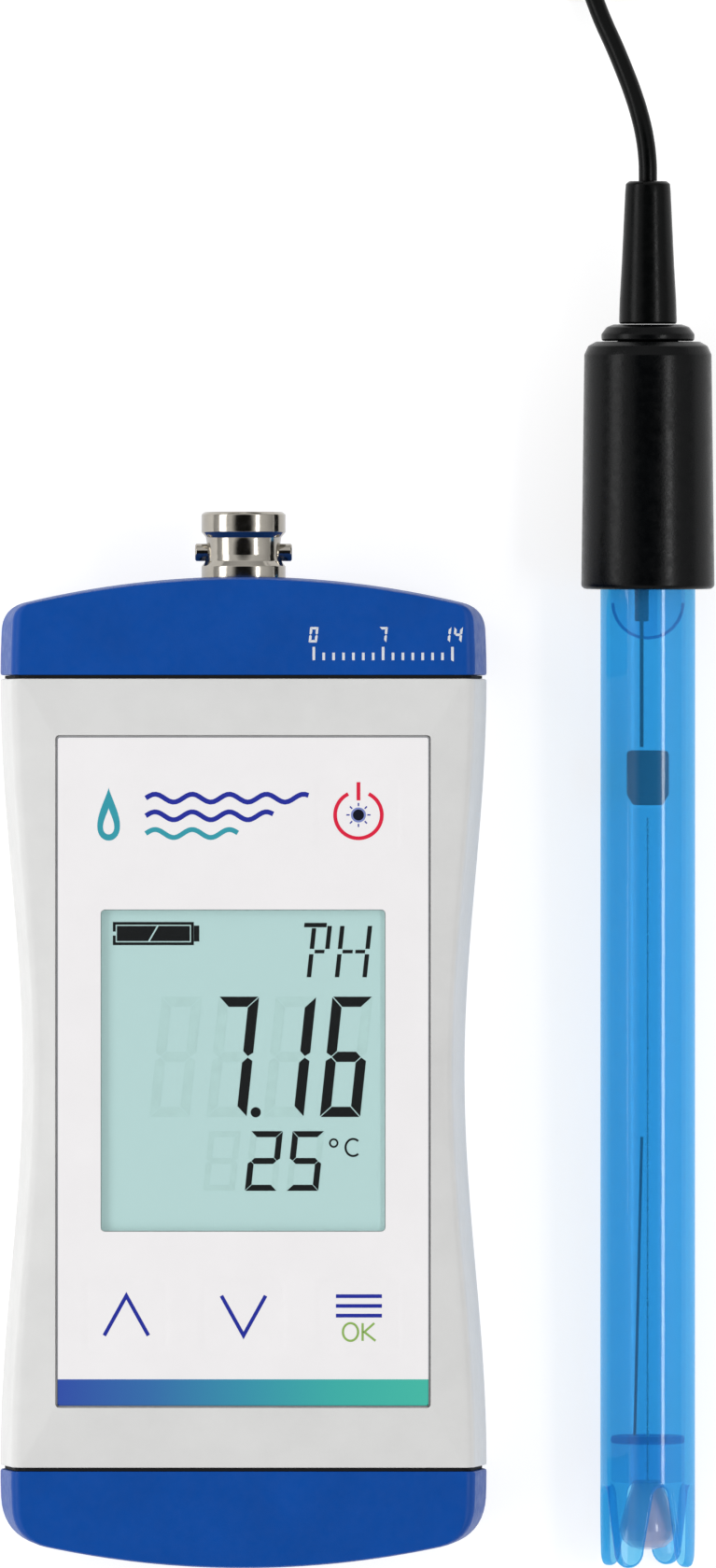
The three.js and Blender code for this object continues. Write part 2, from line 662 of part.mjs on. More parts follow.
function plugBody() {
  const sleeve = [[2.6, 31], [3.9, 31], [3.9, 21.5], [3.5, 21.5], [3.5, 18.4]];
  const shoulder = [[4.6, 18.4], [4.6, 16.4], [4.1, 16.0], [4.1, 11.1]];
  return turned([...sleeve, ...shoulder, [1.3, 11.1], [1.3, 20.2], [2.6, 20.2]]);
}

const plugInsulator = () => tube(20.4, 25.4, 2.5, 1.0, 20);

function plugPin() {
  return turned([[0, 20.6], [0.9, 20.6], [0.9, 25.2], [0.68, 25.6], [0.68, 29.6], [0, 30.4]], 16);
}

// The coupling nut: knurled, with a lead-in groove and a catch hole for each of the jack's two lugs.
function plugNut() {
  const { nutRadius, nutFrom, length } = PLUG;
  let nut = turned(
    [[3.65, nutFrom], [6.6, nutFrom], [nutRadius, nutFrom + 0.6], [nutRadius, nutFrom + 6.4],
      [6.7, nutFrom + 7.2], [6.7, length - 0.4], [6.4, length], [5.0, length], [5.0, nutFrom + 2.2],
      [3.65, nutFrom + 2.2]],
    24,
  );
  const knurls = 12;
  for (let i = 0; i < knurls; i++) {
    const turn = (2 * Math.PI * i) / knurls;
    const place = [(nutRadius + 0.25) * Math.cos(turn), (nutRadius + 0.25) * Math.sin(turn)];
    nut = nut.subtract(rod("y", nutFrom - 1, nutFrom + 6.0, 0.6, place, 4));
  }
  const catchY = length - 4.6;
  for (const side of [-1, 1]) {
    nut = nut.subtract(rod("x", side > 0 ? 4 : -8, side > 0 ? 8 : -4, 1.15, [catchY, 0], 14));
    const groove = block([-1.15, catchY, 4.4], [1.15, length + 1, 5.9]);
    nut = nut.subtract(groove.rotate([0, 90 * side - 55, 0]));
    const steps = 4;
    for (let i = 1; i < steps; i++) {
      const ramp = rod("z", 4.4, 5.9, 1.3, [0, catchY + (1.6 * i) / steps], 8);
      nut = nut.subtract(ramp.rotate([0, 90 * side - (55 * i) / steps, 0]));
    }
  }
  return nut;
}

// ---------------------------------------------------------------- the cable

const tilt = Math.atan((GRIP.rimRadius - SHAFT.radius) / SHAFT.below);
const axisHeight = GRIP.rimRadius * Math.cos(tilt);

// From the strain relief in a loose curve down to the table, and along it to the coil.
const LEAD = [
  [46.0, 101.3, 8.65],
  [45.95, 103.6, 8.64],
  [45.65, 106.2, 8.35],
  [45.05, 108.9, 7.7],
  [44.25, 111.5, 6.7],
  [43.25, 114.2, 5.5],
  [42.15, 116.9, 4.3],
  [41.0, 119.5, 3.2],
  [40.0, 122.1, 2.3],
  [39.05, 124.9, 1.6],
  [38.3, 127.8, 1.2],
  [37.75, 130.9, 1.06],
  [37.3, 134.8, 1.06],
];

// From the top of the coil to the plug's boot.
const TAIL = [
  [5.4, 151.9, 7.37],
  [3.6, 151.0, 7.34],
  [1.8, 150.4, 7.32],
  [0.2, 150.1, 7.3],
  [-1.15, 150.0, 7.3],
];

// The cable's plain solids stop short of the pieces that they meet.
function cableLead() {
  const [x, y, z] = LEAD[0];
  return wire([[x, y + GAP, z], ...LEAD.slice(1)], CABLE.radius, 16);
}

const cableTail = () => wire(TAIL, CABLE.radius, 10);

// One closed ring with the outer shape of all the turns.
function cableCoil() {
  const { middle, pitch, layers, turns } = COIL;
  const half = (pitch * turns) / 2 + CABLE.radius;
  const height = pitch * (layers - 1) + 2 * CABLE.radius;
  const [inner, outerRadius, edge] = [middle - half, middle + half, 0.6];
  const ring = turned(
    [[inner, edge], [inner + edge, 0], [outerRadius - edge, 0], [outerRadius, edge],
      [outerRadius, height - edge], [outerRadius - edge, height], [inner + edge, height],
      [inner, height - edge]],
    28,
  );
  return ring.rotate([90, 0, 0]).translate([COIL.x, COIL.y, 0.02]);
}

// ---------------------------------------------------------------- materials and the assembly

const material = (color, roughness, metalness = 0) =>
  new THREE.MeshStandardMaterial({ color, roughness, metalness });

const FINISH = {
  grey: material(0xdcdcdb, 0.55),
  blue: material(0x1d4a9b, 0.5),
  rubber: material(0x16181a, 0.8),
  foil: material(0xe8e6e7, 0.4),
  clear: material(0xe8f2f2, 0.1),
  lcd: material(0xb7d4d2, 0.3),
  diffuser: material(0xf2f4f0, 0.6),
  frame: material(0x2b2d30, 0.6),
  board: material(0x1e5a36, 0.5),
  chip: material(0x1a1b1d, 0.5),
  steel: material(0xb9bcc0, 0.3, 1),
  nickel: material(0xc9c6be, 0.2, 1),
  brass: material(0xd9b45a, 0.3, 1),
  ptfe: material(0xf4f4f0, 0.5),
  cellWrap: material(0x35393e, 0.35),
  shaft: material(0x2f8fd6, 0.1),
  glass: material(0xdfe6ea, 0.05),
  black: material(0x131515, 0.5),
  silver: material(0x8f9498, 0.4, 1),
};

function piece(name, body, finish) {
  const mesh = new THREE.Mesh(geometryOf(body), FINISH[finish]);
  mesh.name = name;
  return mesh;
}

function meterGroup() {
  const group = new THREE.Group();
  group.add(
    piece("front_shell", frontShell(), "grey"),
    piece("rear_shell", rearShell(), "grey"),
    piece("case_seal", caseSeal(), "rubber"),
    piece("top_cap", topCap(), "blue"),
    piece("front_foil", frontFoil(), "foil"),
    piece("display_window", displayWindow(), "clear"),
    piece("lcd_glass", lcdGlass(), "lcd"),
    piece("lcd_frame", lcdFrame(), "frame"),
    piece("backlight", backlight(), "diffuser"),
    piece("zebra_strip", zebraStrip(), "rubber"),
    piece("circuit_board", circuitBoard(), "board"),
    piece("microcontroller", chip(-8, 22, 10, 10, 1.4), "chip"),
    piece("input_amplifier", chip(9, 24, 6, 5, 1.6), "chip"),
    piece("battery_tray", batteryTray(), "frame"),
    piece("contact_spring", contactSpring(), "steel"),
    piece("contact_plate", contactPlate(), "steel"),
  );
  for (const [name, place] of Object.entries(KEYS)) {
    group.add(piece(`key_${name}`, key(place), "foil"));
    group.add(piece(`switch_${name}`, tactileSwitch(place), "chip"));
  }
  caseScrewPlaces().forEach(([x, y], i) => {
    const mesh = piece(`case_screw_${i + 1}`, screw(17), "steel");
    mesh.position.set(x, y, 1.0);
    group.add(mesh);
  });
  return group;
}

function jackGroup() {
  const group = new THREE.Group();
  group.add(
    piece("jack_shell", jackShell(), "nickel"),
    piece("jack_insulator", jackInsulator(), "ptfe"),
    piece("jack_contact", jackContact(), "brass"),
    piece("jack_nut", jackNut(), "nickel"),
    piece("jack_seal", jackSeal(), "rubber"),
    piece("signal_wire", wire(SIGNAL_WIRE, 0.6, 12, 6), "black"),
  );
  return group;
}

function batteryCapGroup() {
  const group = new THREE.Group();
  group.add(
    piece("bottom_cap", bottomCap(), "blue"),
    piece("bottom_seal", seamRing(-1), "rubber"),
    piece("contact_bridge", contactBridge(), "steel"),
  );
  for (const [name, side] of [["left", -1], ["right", 1]]) {
    const mesh = piece(`cap_screw_${name}`, screw(13), "steel");
    mesh.rotation.x = -Math.PI / 2;
    mesh.position.set(side * CAP_SCREWS.x, CAP_SCREWS.seat - SCREW.head - 0.1, CAP_SCREWS.z);
    group.add(mesh);
  }
  return group;
}

function cellGroup() {
  const group = new THREE.Group();
  group.add(piece("cell_left", cell(-CELL.x, -1), "cellWrap"));
  group.add(piece("cell_right", cell(CELL.x, 1), "cellWrap"));
  return group;
}

function electrodeGroup() {
  const group = new THREE.Group();
  group.add(
    piece("electrode_shaft", shaft(), "shaft"),
    piece("glass_bulb", glassBulb(), "glass"),
    piece("bulb_wire", rod("y", -105.3, -26, 0.2, [0, 0], 8), "silver"),
    piece("reference_wire", wire(REFERENCE_WIRE, 0.17, 4, 6), "silver"),
    piece("junction_plug", tube(-101.7, -96.8, 4.15, 1.95, 24), "shaft"),
    piece("stem_bung", stemBung(), "rubber"),
    piece("inner_lead", innerLead(), "black"),
    piece("potting_plug", potting(), "clear"),
    piece("electrode_grip", grip(), "black"),
    piece("grip_collar", collar(), "black"),
    piece("strain_relief", strainRelief(), "black"),
  );
  group.rotation.x = tilt;
  group.position.set(ELECTRODE.x, ELECTRODE.rimY, axisHeight);
  return group;
}

function cableGroup() {
  const group = new THREE.Group();
  group.add(
    piece("cable_lead", cableLead(), "black"),
    piece("cable_coil", cableCoil(), "black"),
    piece("cable_tail", cableTail(), "black"),
  );
  return group;
}

function plugGroup() {
  const group = new THREE.Group();
  group.add(
    piece("plug_boot", plugBoot(), "black"),
    piece("plug_body", plugBody(), "nickel"),
    piece("plug_insulator", plugInsulator(), "ptfe"),
    piece("plug_pin", plugPin(), "brass"),
    piece("plug_nut", plugNut(), "nickel"),
  );
  group.rotation.z = Math.PI / 2;
  group.position.set(PLUG.x, PLUG.y, PLUG.z);
  return group;
}

const meter = new THREE.Group();
meter.add(meterGroup(), jackGroup(), batteryCapGroup(), cellGroup());
meter.add(electrodeGroup(), cableGroup(), plugGroup());

export default meter;
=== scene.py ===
# Looks of a handheld pH meter and its electrode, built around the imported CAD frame.
# Metres, +Z up. Numbers written in millimetres are turned to metres with MM.
import math

import bmesh
import bpy
from mathutils import Matrix, Vector


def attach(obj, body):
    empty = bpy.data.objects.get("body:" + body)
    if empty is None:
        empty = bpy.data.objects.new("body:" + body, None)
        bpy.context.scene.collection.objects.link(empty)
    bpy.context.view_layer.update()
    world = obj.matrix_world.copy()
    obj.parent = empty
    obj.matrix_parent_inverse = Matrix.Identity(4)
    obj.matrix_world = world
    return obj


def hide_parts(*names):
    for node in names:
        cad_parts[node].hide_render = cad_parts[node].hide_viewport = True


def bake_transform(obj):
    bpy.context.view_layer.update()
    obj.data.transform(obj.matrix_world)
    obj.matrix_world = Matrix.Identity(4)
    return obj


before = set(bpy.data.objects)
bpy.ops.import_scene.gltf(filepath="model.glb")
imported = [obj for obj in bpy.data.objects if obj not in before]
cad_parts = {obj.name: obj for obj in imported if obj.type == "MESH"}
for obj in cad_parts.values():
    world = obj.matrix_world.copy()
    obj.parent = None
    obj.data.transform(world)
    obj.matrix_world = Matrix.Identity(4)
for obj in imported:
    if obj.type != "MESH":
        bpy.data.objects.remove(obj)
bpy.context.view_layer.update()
MM = 0.001

# ---------------------------------------------------------------- camera and cord

CAMERA_PLACE = (13.0, 32.7, 3000.0)
CAMERA_LENS = 603.7  # so long that the view is nearly without perspective


def link(name, data):
    made = bpy.data.objects.new(name, data)
    bpy.context.scene.collection.objects.link(made)
    return made


def make_camera():
    data = bpy.data.cameras.new("camera")
    data.sensor_width = 36
    data.lens = CAMERA_LENS
    data.clip_start = 0.02
    data.clip_end = 20
    camera = link("camera", data)
    camera.location = Vector(CAMERA_PLACE) * MM
    bpy.context.scene.camera = camera


make_camera()

CABLE_RADIUS = 1.05
# Millimetres: from the strain relief down to the table, and along it to the coil.
LEAD = [
    (46.0, 101.3, 8.65), (45.95, 103.6, 8.64), (45.65, 106.2, 8.35), (45.05, 108.9, 7.7),
    (44.25, 111.5, 6.7), (43.25, 114.2, 5.5), (42.15, 116.9, 4.3), (41.0, 119.5, 3.2),
    (40.0, 122.1, 2.3), (39.05, 124.9, 1.6), (38.3, 127.8, 1.2), (37.75, 130.9, 1.06),
    (37.3, 134.8, 1.06), (36.9, 138.4, 1.06),
]
# From the top of the coil to the plug's boot.
TAIL = [
    (16.6, 158.1, 7.5), (13.6, 157.2, 7.48), (10.8, 155.7, 7.45), (8.1, 153.9, 7.41),
    (5.4, 151.9, 7.37), (3.6, 151.0, 7.34), (1.8, 150.4, 7.32), (0.2, 150.1, 7.3), (-1.3, 150.0, 7.3),
]
COIL = {"x": 21.0, "y": 142.5, "inner": 9.025, "pitch": 2.15, "layers": 4, "turns": 3, "floor": 1.06}


def coil_points():
    """Layers of flat spirals, inwards and outwards by turns, each on top of the last."""
    steps = 20
    climb_steps = 6
    per_layer = COIL["turns"] * steps
    climb = climb_steps / per_layer
    last = COIL["layers"] * per_layer + steps // 4
    points = []
    for i in range(last + 1):
        layer = i / per_layer
        whole = math.floor(layer)
        share = layer - whole
        run = COIL["turns"] * COIL["pitch"]
        if layer >= COIL["layers"]:
            radius = COIL["inner"] + run * (1 + share)
            level = COIL["layers"] - 1
        else:
            inward = whole % 2 == 0
            radius = COIL["inner"] + run * ((1 - share) if inward else share)
            rise = max(0.0, (share - (1 - climb)) / climb) if whole < COIL["layers"] - 1 else 0.0
            level = whole + rise * rise * (3 - 2 * rise)
        turn = 2 * math.pi * i / steps
        points.append((
            COIL["x"] + radius * math.cos(turn),
            COIL["y"] + radius * math.sin(turn),
            COIL["floor"] + level * COIL["pitch"],
        ))
    return points


def make_cable():
    route = [Vector(p) * MM for p in LEAD + coil_points() + TAIL]
    curve = bpy.data.curves.new("cable", "CURVE")
    curve.dimensions = "3D"
    curve.bevel_depth = 1.0
    curve.bevel_resolution = 5
    curve.resolution_u = 5
    curve.use_fill_caps = True
    spline = curve.splines.new("BEZIER")
    spline.bezier_points.add(len(route) - 1)
    for knot, place in zip(spline.bezier_points, route):
        knot.co = place
        knot.radius = CABLE_RADIUS * MM
        knot.handle_left_type = knot.handle_right_type = "AUTO"
    curve.materials.append(CABLE_PVC)
    cable = link("cable", curve)
    show(cable, "electrode", "cable_lead", "cable_coil", "cable_tail", slot="cable_pvc")
    return cable, route


# ---------------------------------------------------------------- materials


def linear(*rgb):
    """sRGB numbers of 0 to 255 as linear colour with alpha 1."""
    def channel(value):
        value /= 255
        return value / 12.92 if value <= 0.04045 else ((value + 0.055) / 1.055) ** 2.4
    return (*[channel(v) for v in rgb], 1.0)


def shade(colour, factor):
    return (*[min(1.0, c * factor) for c in colour[:3]], 1.0)


class Finish:
    """A Principled material with its node tree, built up by small steps."""

    def __init__(self, name, roughness=0.5, metallic=0.0, **sockets):
        self.material = bpy.data.materials.new(name)
        self.material.use_nodes = True
        self.nodes = self.material.node_tree.nodes
        self.links = self.material.node_tree.links
        self.shader = self.nodes["Principled BSDF"]
        self.shader.inputs["Roughness"].default_value = roughness
        self.shader.inputs["Metallic"].default_value = metallic
        for socket, value in sockets.items():
            self.shader.inputs[socket.replace("_", " ")].default_value = value
        self.place = self.node("TexCoord").outputs["Object"]
        self.last_bump = None

    def node(self, kind, **values):
        """A new node of this kind, with values for its sockets."""
        node = self.nodes.new("ShaderNode" + kind)
        for socket, value in values.items():
            node.inputs[socket.replace("_", " ")].default_value = value
        return node

    def noise(self, scale, detail):
        node = self.node("TexNoise", Scale=scale, Detail=detail, Roughness=0.6)
        self.links.new(self.place, node.inputs["Vector"])
        return node.outputs["Fac"]

    def axes(self, source):
        node = self.node("SeparateXYZ")
        self.links.new(source, node.inputs["Vector"])
        return node.outputs

    def spread(self, value, low, high, to_low=0.0, to_high=1.0):
        """The range from low to high, laid out from to_low to to_high."""
        node = self.node("MapRange", From_Min=low, From_Max=high, To_Min=to_low, To_Max=to_high)
        self.links.new(value, node.inputs["Value"])
        return node.outputs["Result"]

    def colour(self, value, stops):
        """The base colour, along a ramp."""
        node = self.node("ValToRGB")
        elements = node.color_ramp.elements
        while len(elements) < len(stops):
            elements.new(0.5)
        for element, (position, colour) in zip(elements, stops):
            element.position = position
            element.color = colour
        self.links.new(value, node.inputs["Fac"])
        self.links.new(node.outputs["Color"], self.shader.inputs["Base Color"])

    def tint(self, colour, spread, scale):
        """The base colour, with soft lighter and darker patches."""
        stops = [(0.3, shade(colour, 1 - spread)), (0.7, shade(colour, 1 + spread))]
        self.colour(self.noise(scale, 4), stops)

    def polish(self, low, high, scale):
        """Roughness that wanders between two values."""
        wandering = self.spread(self.noise(scale, 4), 0.3, 0.7, low, high)
        self.links.new(wandering, self.shader.inputs["Roughness"])

    def grain(self, scale, depth, strength=1.0):
        """A bump of that depth in millimetres, added to any before it."""
        node = self.node("Bump", Strength=strength, Distance=depth * MM)
        self.links.new(self.noise(scale, 2), node.inputs["Height"])
        if self.last_bump:
            self.links.new(self.last_bump, node.inputs["Normal"])
        self.last_bump = node.outputs["Normal"]
        self.links.new(self.last_bump, self.shader.inputs["Normal"])


def moulded(name, colour, roughness, spread=0.03, grain=0.012, size=5200, gloss=0.3):
    """Moulded plastic: a fine eroded grain, faint clouds of colour and uneven gloss."""
    finish = Finish(name, roughness, Specular_IOR_Level=gloss)
    finish.tint(colour, spread, 160)
    finish.polish(roughness - 0.06, roughness + 0.08, 900)
    finish.grain(size, grain)
    finish.grain(60, 0.02, 0.5)
    return finish.material


def metal(name, colour, roughness):
    """Plated or drawn metal with fine marks."""
    finish = Finish(name, roughness, 1.0)
    finish.tint(colour, 0.06, 500)
    finish.polish(roughness * 0.7, roughness * 1.5, 1400)
    finish.grain(3000, 0.003, 0.7)
    return finish.material


def printed(name, colour, roughness=0.45):
    """Screen-printed ink: an even film with a little orange peel. It also makes the grey line of painted
    shadow along the foil's edge.
    """
    finish = Finish(name, roughness, Specular_IOR_Level=0.2)
    finish.tint(colour, 0.04, 900)
    finish.grain(4000, 0.004)
    return finish.material


def see_through(name, tint, colour, body, roughness, **sockets):
    """Clear plastic, gel or glass: it dyes what is behind it, and body is the share of its own colour."""
    finish = Finish(name, roughness, **sockets)
    finish.tint(colour, 0.05, 130)
    finish.polish(roughness * 0.6, roughness * 1.6, 300)
    finish.grain(220, 0.004, 0.6)
    clear = finish.node("BsdfTransparent", Color=tint)
    mixer = finish.node("MixShader", Fac=body)
    finish.links.new(clear.outputs["BSDF"], mixer.inputs[1])
    finish.links.new(finish.shader.outputs["BSDF"], mixer.inputs[2])
    output = finish.nodes["Material Output"]
    finish.links.new(mixer.outputs["Shader"], output.inputs["Surface"])
    return finish.material


GREY_ABS = moulded("grey_abs", linear(209, 209, 208), 0.5)
BLUE_ABS = moulded("blue_abs", linear(10, 70, 152), 0.42, spread=0.05, gloss=0.14)
DARK_SEAL = moulded("dark_seal", linear(14, 15, 18), 0.75, grain=0.02, gloss=0.15)
RUBBER = moulded("black_rubber", linear(14, 15, 17), 0.7, grain=0.02, gloss=0.15)
FOIL = moulded("front_foil", linear(233, 231, 232), 0.42, spread=0.012, grain=0.006, size=7000)
GRIP_PLASTIC = moulded("grip_plastic", linear(4, 5, 6), 0.26, spread=0.2, grain=0.012, size=3600, gloss=0.13)
CABLE_PVC = moulded("cable_pvc", linear(4, 5, 5), 0.26, spread=0.15, grain=0.008, size=4200, gloss=0.1)
DARK_PLASTIC = moulded("dark_plastic", linear(44, 46, 50), 0.5, spread=0.08)
WHITE_DIFFUSER = moulded("white_diffuser", linear(240, 242, 238), 0.35)
PTFE = moulded("white_insulator", linear(238, 238, 233), 0.4, grain=0.006)
CHIP_EPOXY = moulded("chip_epoxy", linear(30, 30, 32), 0.55, spread=0.1, grain=0.02)
NICKEL = metal("polished_nickel", linear(168, 163, 154), 0.12)
STEEL = metal("stainless_steel", linear(186, 188, 192), 0.28)
GOLD = metal("gold_plate", linear(224, 180, 92), 0.2)
SILVER = metal("dark_silver_wire", linear(30, 44, 70), 0.35)
LCD_INK = printed("lcd_segment", linear(2, 4, 6), 0.4)
BLUE_INK = printed("blue_ink", linear(34, 44, 148))
RED_INK = printed("red_ink", linear(212, 30, 62))
GREEN_INK = printed("green_ink", linear(136, 172, 88))
BLACK_INK = printed("black_ink", linear(10, 12, 30))
PALE_INK = printed("pale_ink", linear(120, 132, 190))
TEAL_INK = printed("teal_ink", linear(52, 150, 165))
# A grey line of painted shadow, for the gap between the foil's edge and the rim round it.
FOIL_GAP_SHADOW_INK = printed("foil_gap_painted_shadow", linear(128, 130, 134))
LIGHT_INK = printed("light_ink", linear(208, 211, 216))
SHAFT_BLUE = see_through(
    "blue_polycarbonate", (0.24, 0.72, 0.95, 1), (0.04, 0.34, 0.76, 1), 0.32, 0.07, Coat_Weight=1.0,
    Coat_IOR=1.7, Specular_IOR_Level=0.3,
)
SHAFT_BORE_BLUE = see_through("blue_bore", (0.95, 0.98, 1.0, 1), (0.03, 0.33, 0.75, 1), 0.05, 0.15)
BLUE_BAND = see_through("blue_band", (0.88, 0.95, 0.99, 1), (0.03, 0.3, 0.75, 1), 0.08, 0.25)
RESIN = see_through("potting_resin", (0.9, 0.95, 1.0, 1), (0.03, 0.2, 0.66, 1), 0.05, 0.06)
STEM_GLASS = see_through("stem_glass", (0.97, 0.985, 0.99, 1), (0.2, 0.5, 0.8, 1), 0.03, 0.06)
BULB_GLASS = see_through(
    "bulb_glass", (0.86, 0.86, 0.92, 1), (0.56, 0.56, 0.72, 1), 0.42, 0.04, Coat_Weight=0.8,
)
PANE = see_through("window_pane", (0.99, 1.0, 1.0, 1), (0.3, 0.32, 0.32, 1), 0.015, 0.12)
DEEP_BLUE = see_through("deep_blue", (0.55, 0.72, 0.92, 1), (0.02, 0.1, 0.42, 1), 0.35, 0.3)


def battery_jacket():
    """A cell's printed jacket: dark, with one copper-coloured band at its plus end."""
    finish = Finish("cell_jacket", 0.32, 0.6)
    along = finish.spread(finish.axes(finish.place)["Y"], -45 * MM, 7 * MM)
    dark = linear(34, 37, 42)
    copper = linear(190, 118, 60)
    finish.colour(along, [(0.0, dark), (0.74, dark), (0.745, copper), (1.0, copper)])
    finish.polish(0.25, 0.4, 600)
    finish.grain(1200, 0.004)
    return finish.material


def solder_mask():
    """Green board with the faint relief of its tracks."""
    finish = Finish("solder_mask", 0.35)
    wave = finish.node("TexVoronoi", Scale=420)
    finish.links.new(finish.place, wave.inputs["Vector"])
    finish.colour(wave.outputs["Distance"], [(0.25, linear(20, 82, 48)), (0.4, linear(34, 108, 66))])
    finish.grain(900, 0.02)
    return finish.material


def rainbow_strip(x0, x1):
    """The printed strip at the foil's lower edge, from blue at x0 to green at x1."""
    finish = Finish("gradient_ink", 0.42)
    along = finish.spread(finish.axes(finish.place)["X"], x0, x1)
    stops = [
        (0.0, linear(40, 72, 162)), (0.25, linear(44, 104, 165)), (0.5, linear(48, 140, 166)),
        (0.75, linear(54, 168, 161)), (1.0, linear(62, 180, 160)),
    ]
    finish.colour(along, stops)
    finish.grain(4000, 0.004)
    return finish.material


def lcd_face():
    """The display's reflector: grey-green, with painted shade that darkens it towards the window's edges."""
    finish = Finish("lcd_reflector_with_painted_edge_shade", 0.35)
    across = finish.axes(finish.node("TexCoord").outputs["Generated"])
    edges = []
    for axis in "XY":
        away = finish.node("Math")
        away.operation = "PINGPONG"
        away.inputs[1].default_value = 0.5
        finish.links.new(across[axis], away.inputs[0])
        edges.append(away.outputs["Value"])
    nearest = finish.node("Math")
    nearest.operation = "MINIMUM"
    for edge, socket in zip(edges, nearest.inputs):
        finish.links.new(edge, socket)
    # The darker first stops are painted shade near the window's edges.
    stops = [(0.0, linear(158, 190, 186)), (0.03, linear(178, 208, 204)), (0.2, linear(184, 213, 211))]
    finish.colour(nearest.outputs["Value"], stops)
    finish.grain(2600, 0.004)
    return finish.material


# ---------------------------------------------------------------- mesh tools


def mesh_object(name, points, faces, material, sharp=35):
    """A mesh from points in millimetres."""
    data = bpy.data.meshes.new(name)
    data.from_pydata([Vector(p) * MM for p in points], [], faces)
    data.validate()
    data.materials.append(material)
    made = link(name, data)
    smooth(made, sharp)
    return made


def smooth(target, sharp=35):
    target.data.shade_smooth()
    target.data.set_sharp_from_angle(angle=math.radians(sharp))


def evaluated(target):
    """The mesh that target's modifiers or its outline make."""
    bpy.context.view_layer.update()
    graph = bpy.context.evaluated_depsgraph_get()
    return bpy.data.meshes.new_from_object(target.evaluated_get(graph))


def carve(target, cutter, operation="DIFFERENCE"):
    modifier = target.modifiers.new("carve", "BOOLEAN")
    modifier.operation = operation
    modifier.solver = "EXACT"
    modifier.object = cutter
    data = evaluated(target)
    target.modifiers.clear()
    target.data = data
    bpy.data.objects.remove(cutter)
    smooth(target, 30)


def curved(start, corner, stop, steps):
    """Points of a smooth curve from start to stop that bends towards corner."""
    made = []
    for k in range(steps + 1):
        t = k / steps
        point = start * (1 - t) ** 2 + corner * (2 * t * (1 - t)) + stop * t * t
        made.append((point.x, point.y))
    return made


def rounded(profile, radius, closed):
    """A copy of a 2-D line with its corners rounded."""
    made = []
    count = len(profile)
    for i, here in enumerate(profile):
        if not closed and i in (0, count - 1):
            made.append(here)
            continue
        corner = Vector(here)
        before = Vector(profile[i - 1]) - corner
        after = Vector(profile[(i + 1) % count]) - corner
        bend = math.pi - before.angle(after, math.pi)
        if bend < math.radians(12):
            made.append(here)
            continue
        cut = min(radius * math.tan(bend / 2), before.length * 0.45, after.length * 0.45)
        start = corner + before.normalized() * cut
        stop = corner + after.normalized() * cut
        made += curved(start, corner, stop, 3)
    return made


def band(a, b, count):
    """The faces between two rings of count points each, whose first points are a and b."""
    return [(a + i, a + (i + 1) % count, b + (i + 1) % count, b + i) for i in range(count)]


def lathe(name, profile, material, place, sides=72, round_off=0.15):
    """A shape turned about local Y from (radius, y) points in millimetres, then put in place by a matrix."""
    closed = not (profile[0][0] == 0 and profile[-1][0] == 0)
    line = rounded(profile, round_off, closed) if round_off else profile
    points = []
    rows = []
    for r, y in line:
        if r < 1e-6:
            rows.append([len(points)])
            points.append((0, y, 0))
            continue
        rows.append(list(range(len(points), len(points) + sides)))
        for k in range(sides):
            turn = 2 * math.pi * k / sides
            points.append((r * math.sin(turn), y, r * math.cos(turn)))
    faces = []
    pairs = list(zip(rows, rows[1:])) + ([(rows[-1], rows[0])] if closed else [])
    for a, b in pairs:
        if len(a) == 1:
            faces += [(a[0], b[(k + 1) % sides], b[k]) for k in range(sides)]
        elif len(b) == 1:
            faces += [(a[k], a[(k + 1) % sides], b[0]) for k in range(sides)]
        else:
            faces += band(a[0], b[0], sides)
    made = mesh_object(name, [place @ Vector(p) for p in points], faces, material)
    face_out(made)
    return made


def face_out(target, weld=None):
    """Turns all faces of a closed mesh outwards, and first joins points that are nearer than weld."""
    data = bmesh.new()
    data.from_mesh(target.data)
    if weld:
        bmesh.ops.remove_doubles(data, verts=data.verts, dist=weld)
    bmesh.ops.recalc_face_normals(data, faces=data.faces)
    data.to_mesh(target.data)
    data.free()


def sweep(name, points, radius, material, sides=12, place=Matrix.Identity(4)):
    """A round wire along points in millimetres, with closed ends."""
    path = [place @ Vector(p) for p in points]
    rings = []
    side = Vector((0.31, 0.17, 0.93))  # any direction that no wire runs along
    for i, here in enumerate(path):
        ahead = (path[min(i + 1, len(path) - 1)] - path[max(i - 1, 0)]).normalized()
        across = (side - ahead * side.dot(ahead)).normalized()
        other = ahead.cross(across)
        turns = [2 * math.pi * k / sides for k in range(sides)]
        rings.append([here + across * radius * math.cos(t) + other * radius * math.sin(t) for t in turns])
    return skin(name, rings, material, sharp=35)


def skin(name, rings, material, sharp=30, ends=True):
    """A skin over rings of equal length, with flat ends or with its last ring joined to its first."""
    count = len(rings[0])
    last = (len(rings) - 1) * count
    faces = []
    for a in range(0, last, count):
        faces += band(a, a + count, count)
    if ends:
        faces.append(tuple(range(count))[::-1])
        faces.append(tuple(range(last, last + count)))
    else:
        faces += band(last, 0, count)
    made = mesh_object(name, [p for ring in rings for p in ring], faces, material, sharp)
    face_out(made)
    return made


def arc(x, y, radius, first, last, steps, stretch=1.0):
    """Points of an arc round x, y from one angle to another, in degrees."""
    made = []
    for k in range(steps + 1):
        turn = math.radians(first + (last - first) * k / steps)
        made.append((x + radius * math.cos(turn), y + radius * stretch * math.sin(turn)))
    return made


def rounded_rect(x, y, width, height, radius):
    right, up = width / 2 - radius, height / 2 - radius
    loop = []
    for sx, sy, first in ((1, 1, 0), (-1, 1, 90), (-1, -1, 180), (1, -1, 270)):
        loop += arc(x + sx * right, y + sy * up, radius, first, first + 90, 5)
    return loop


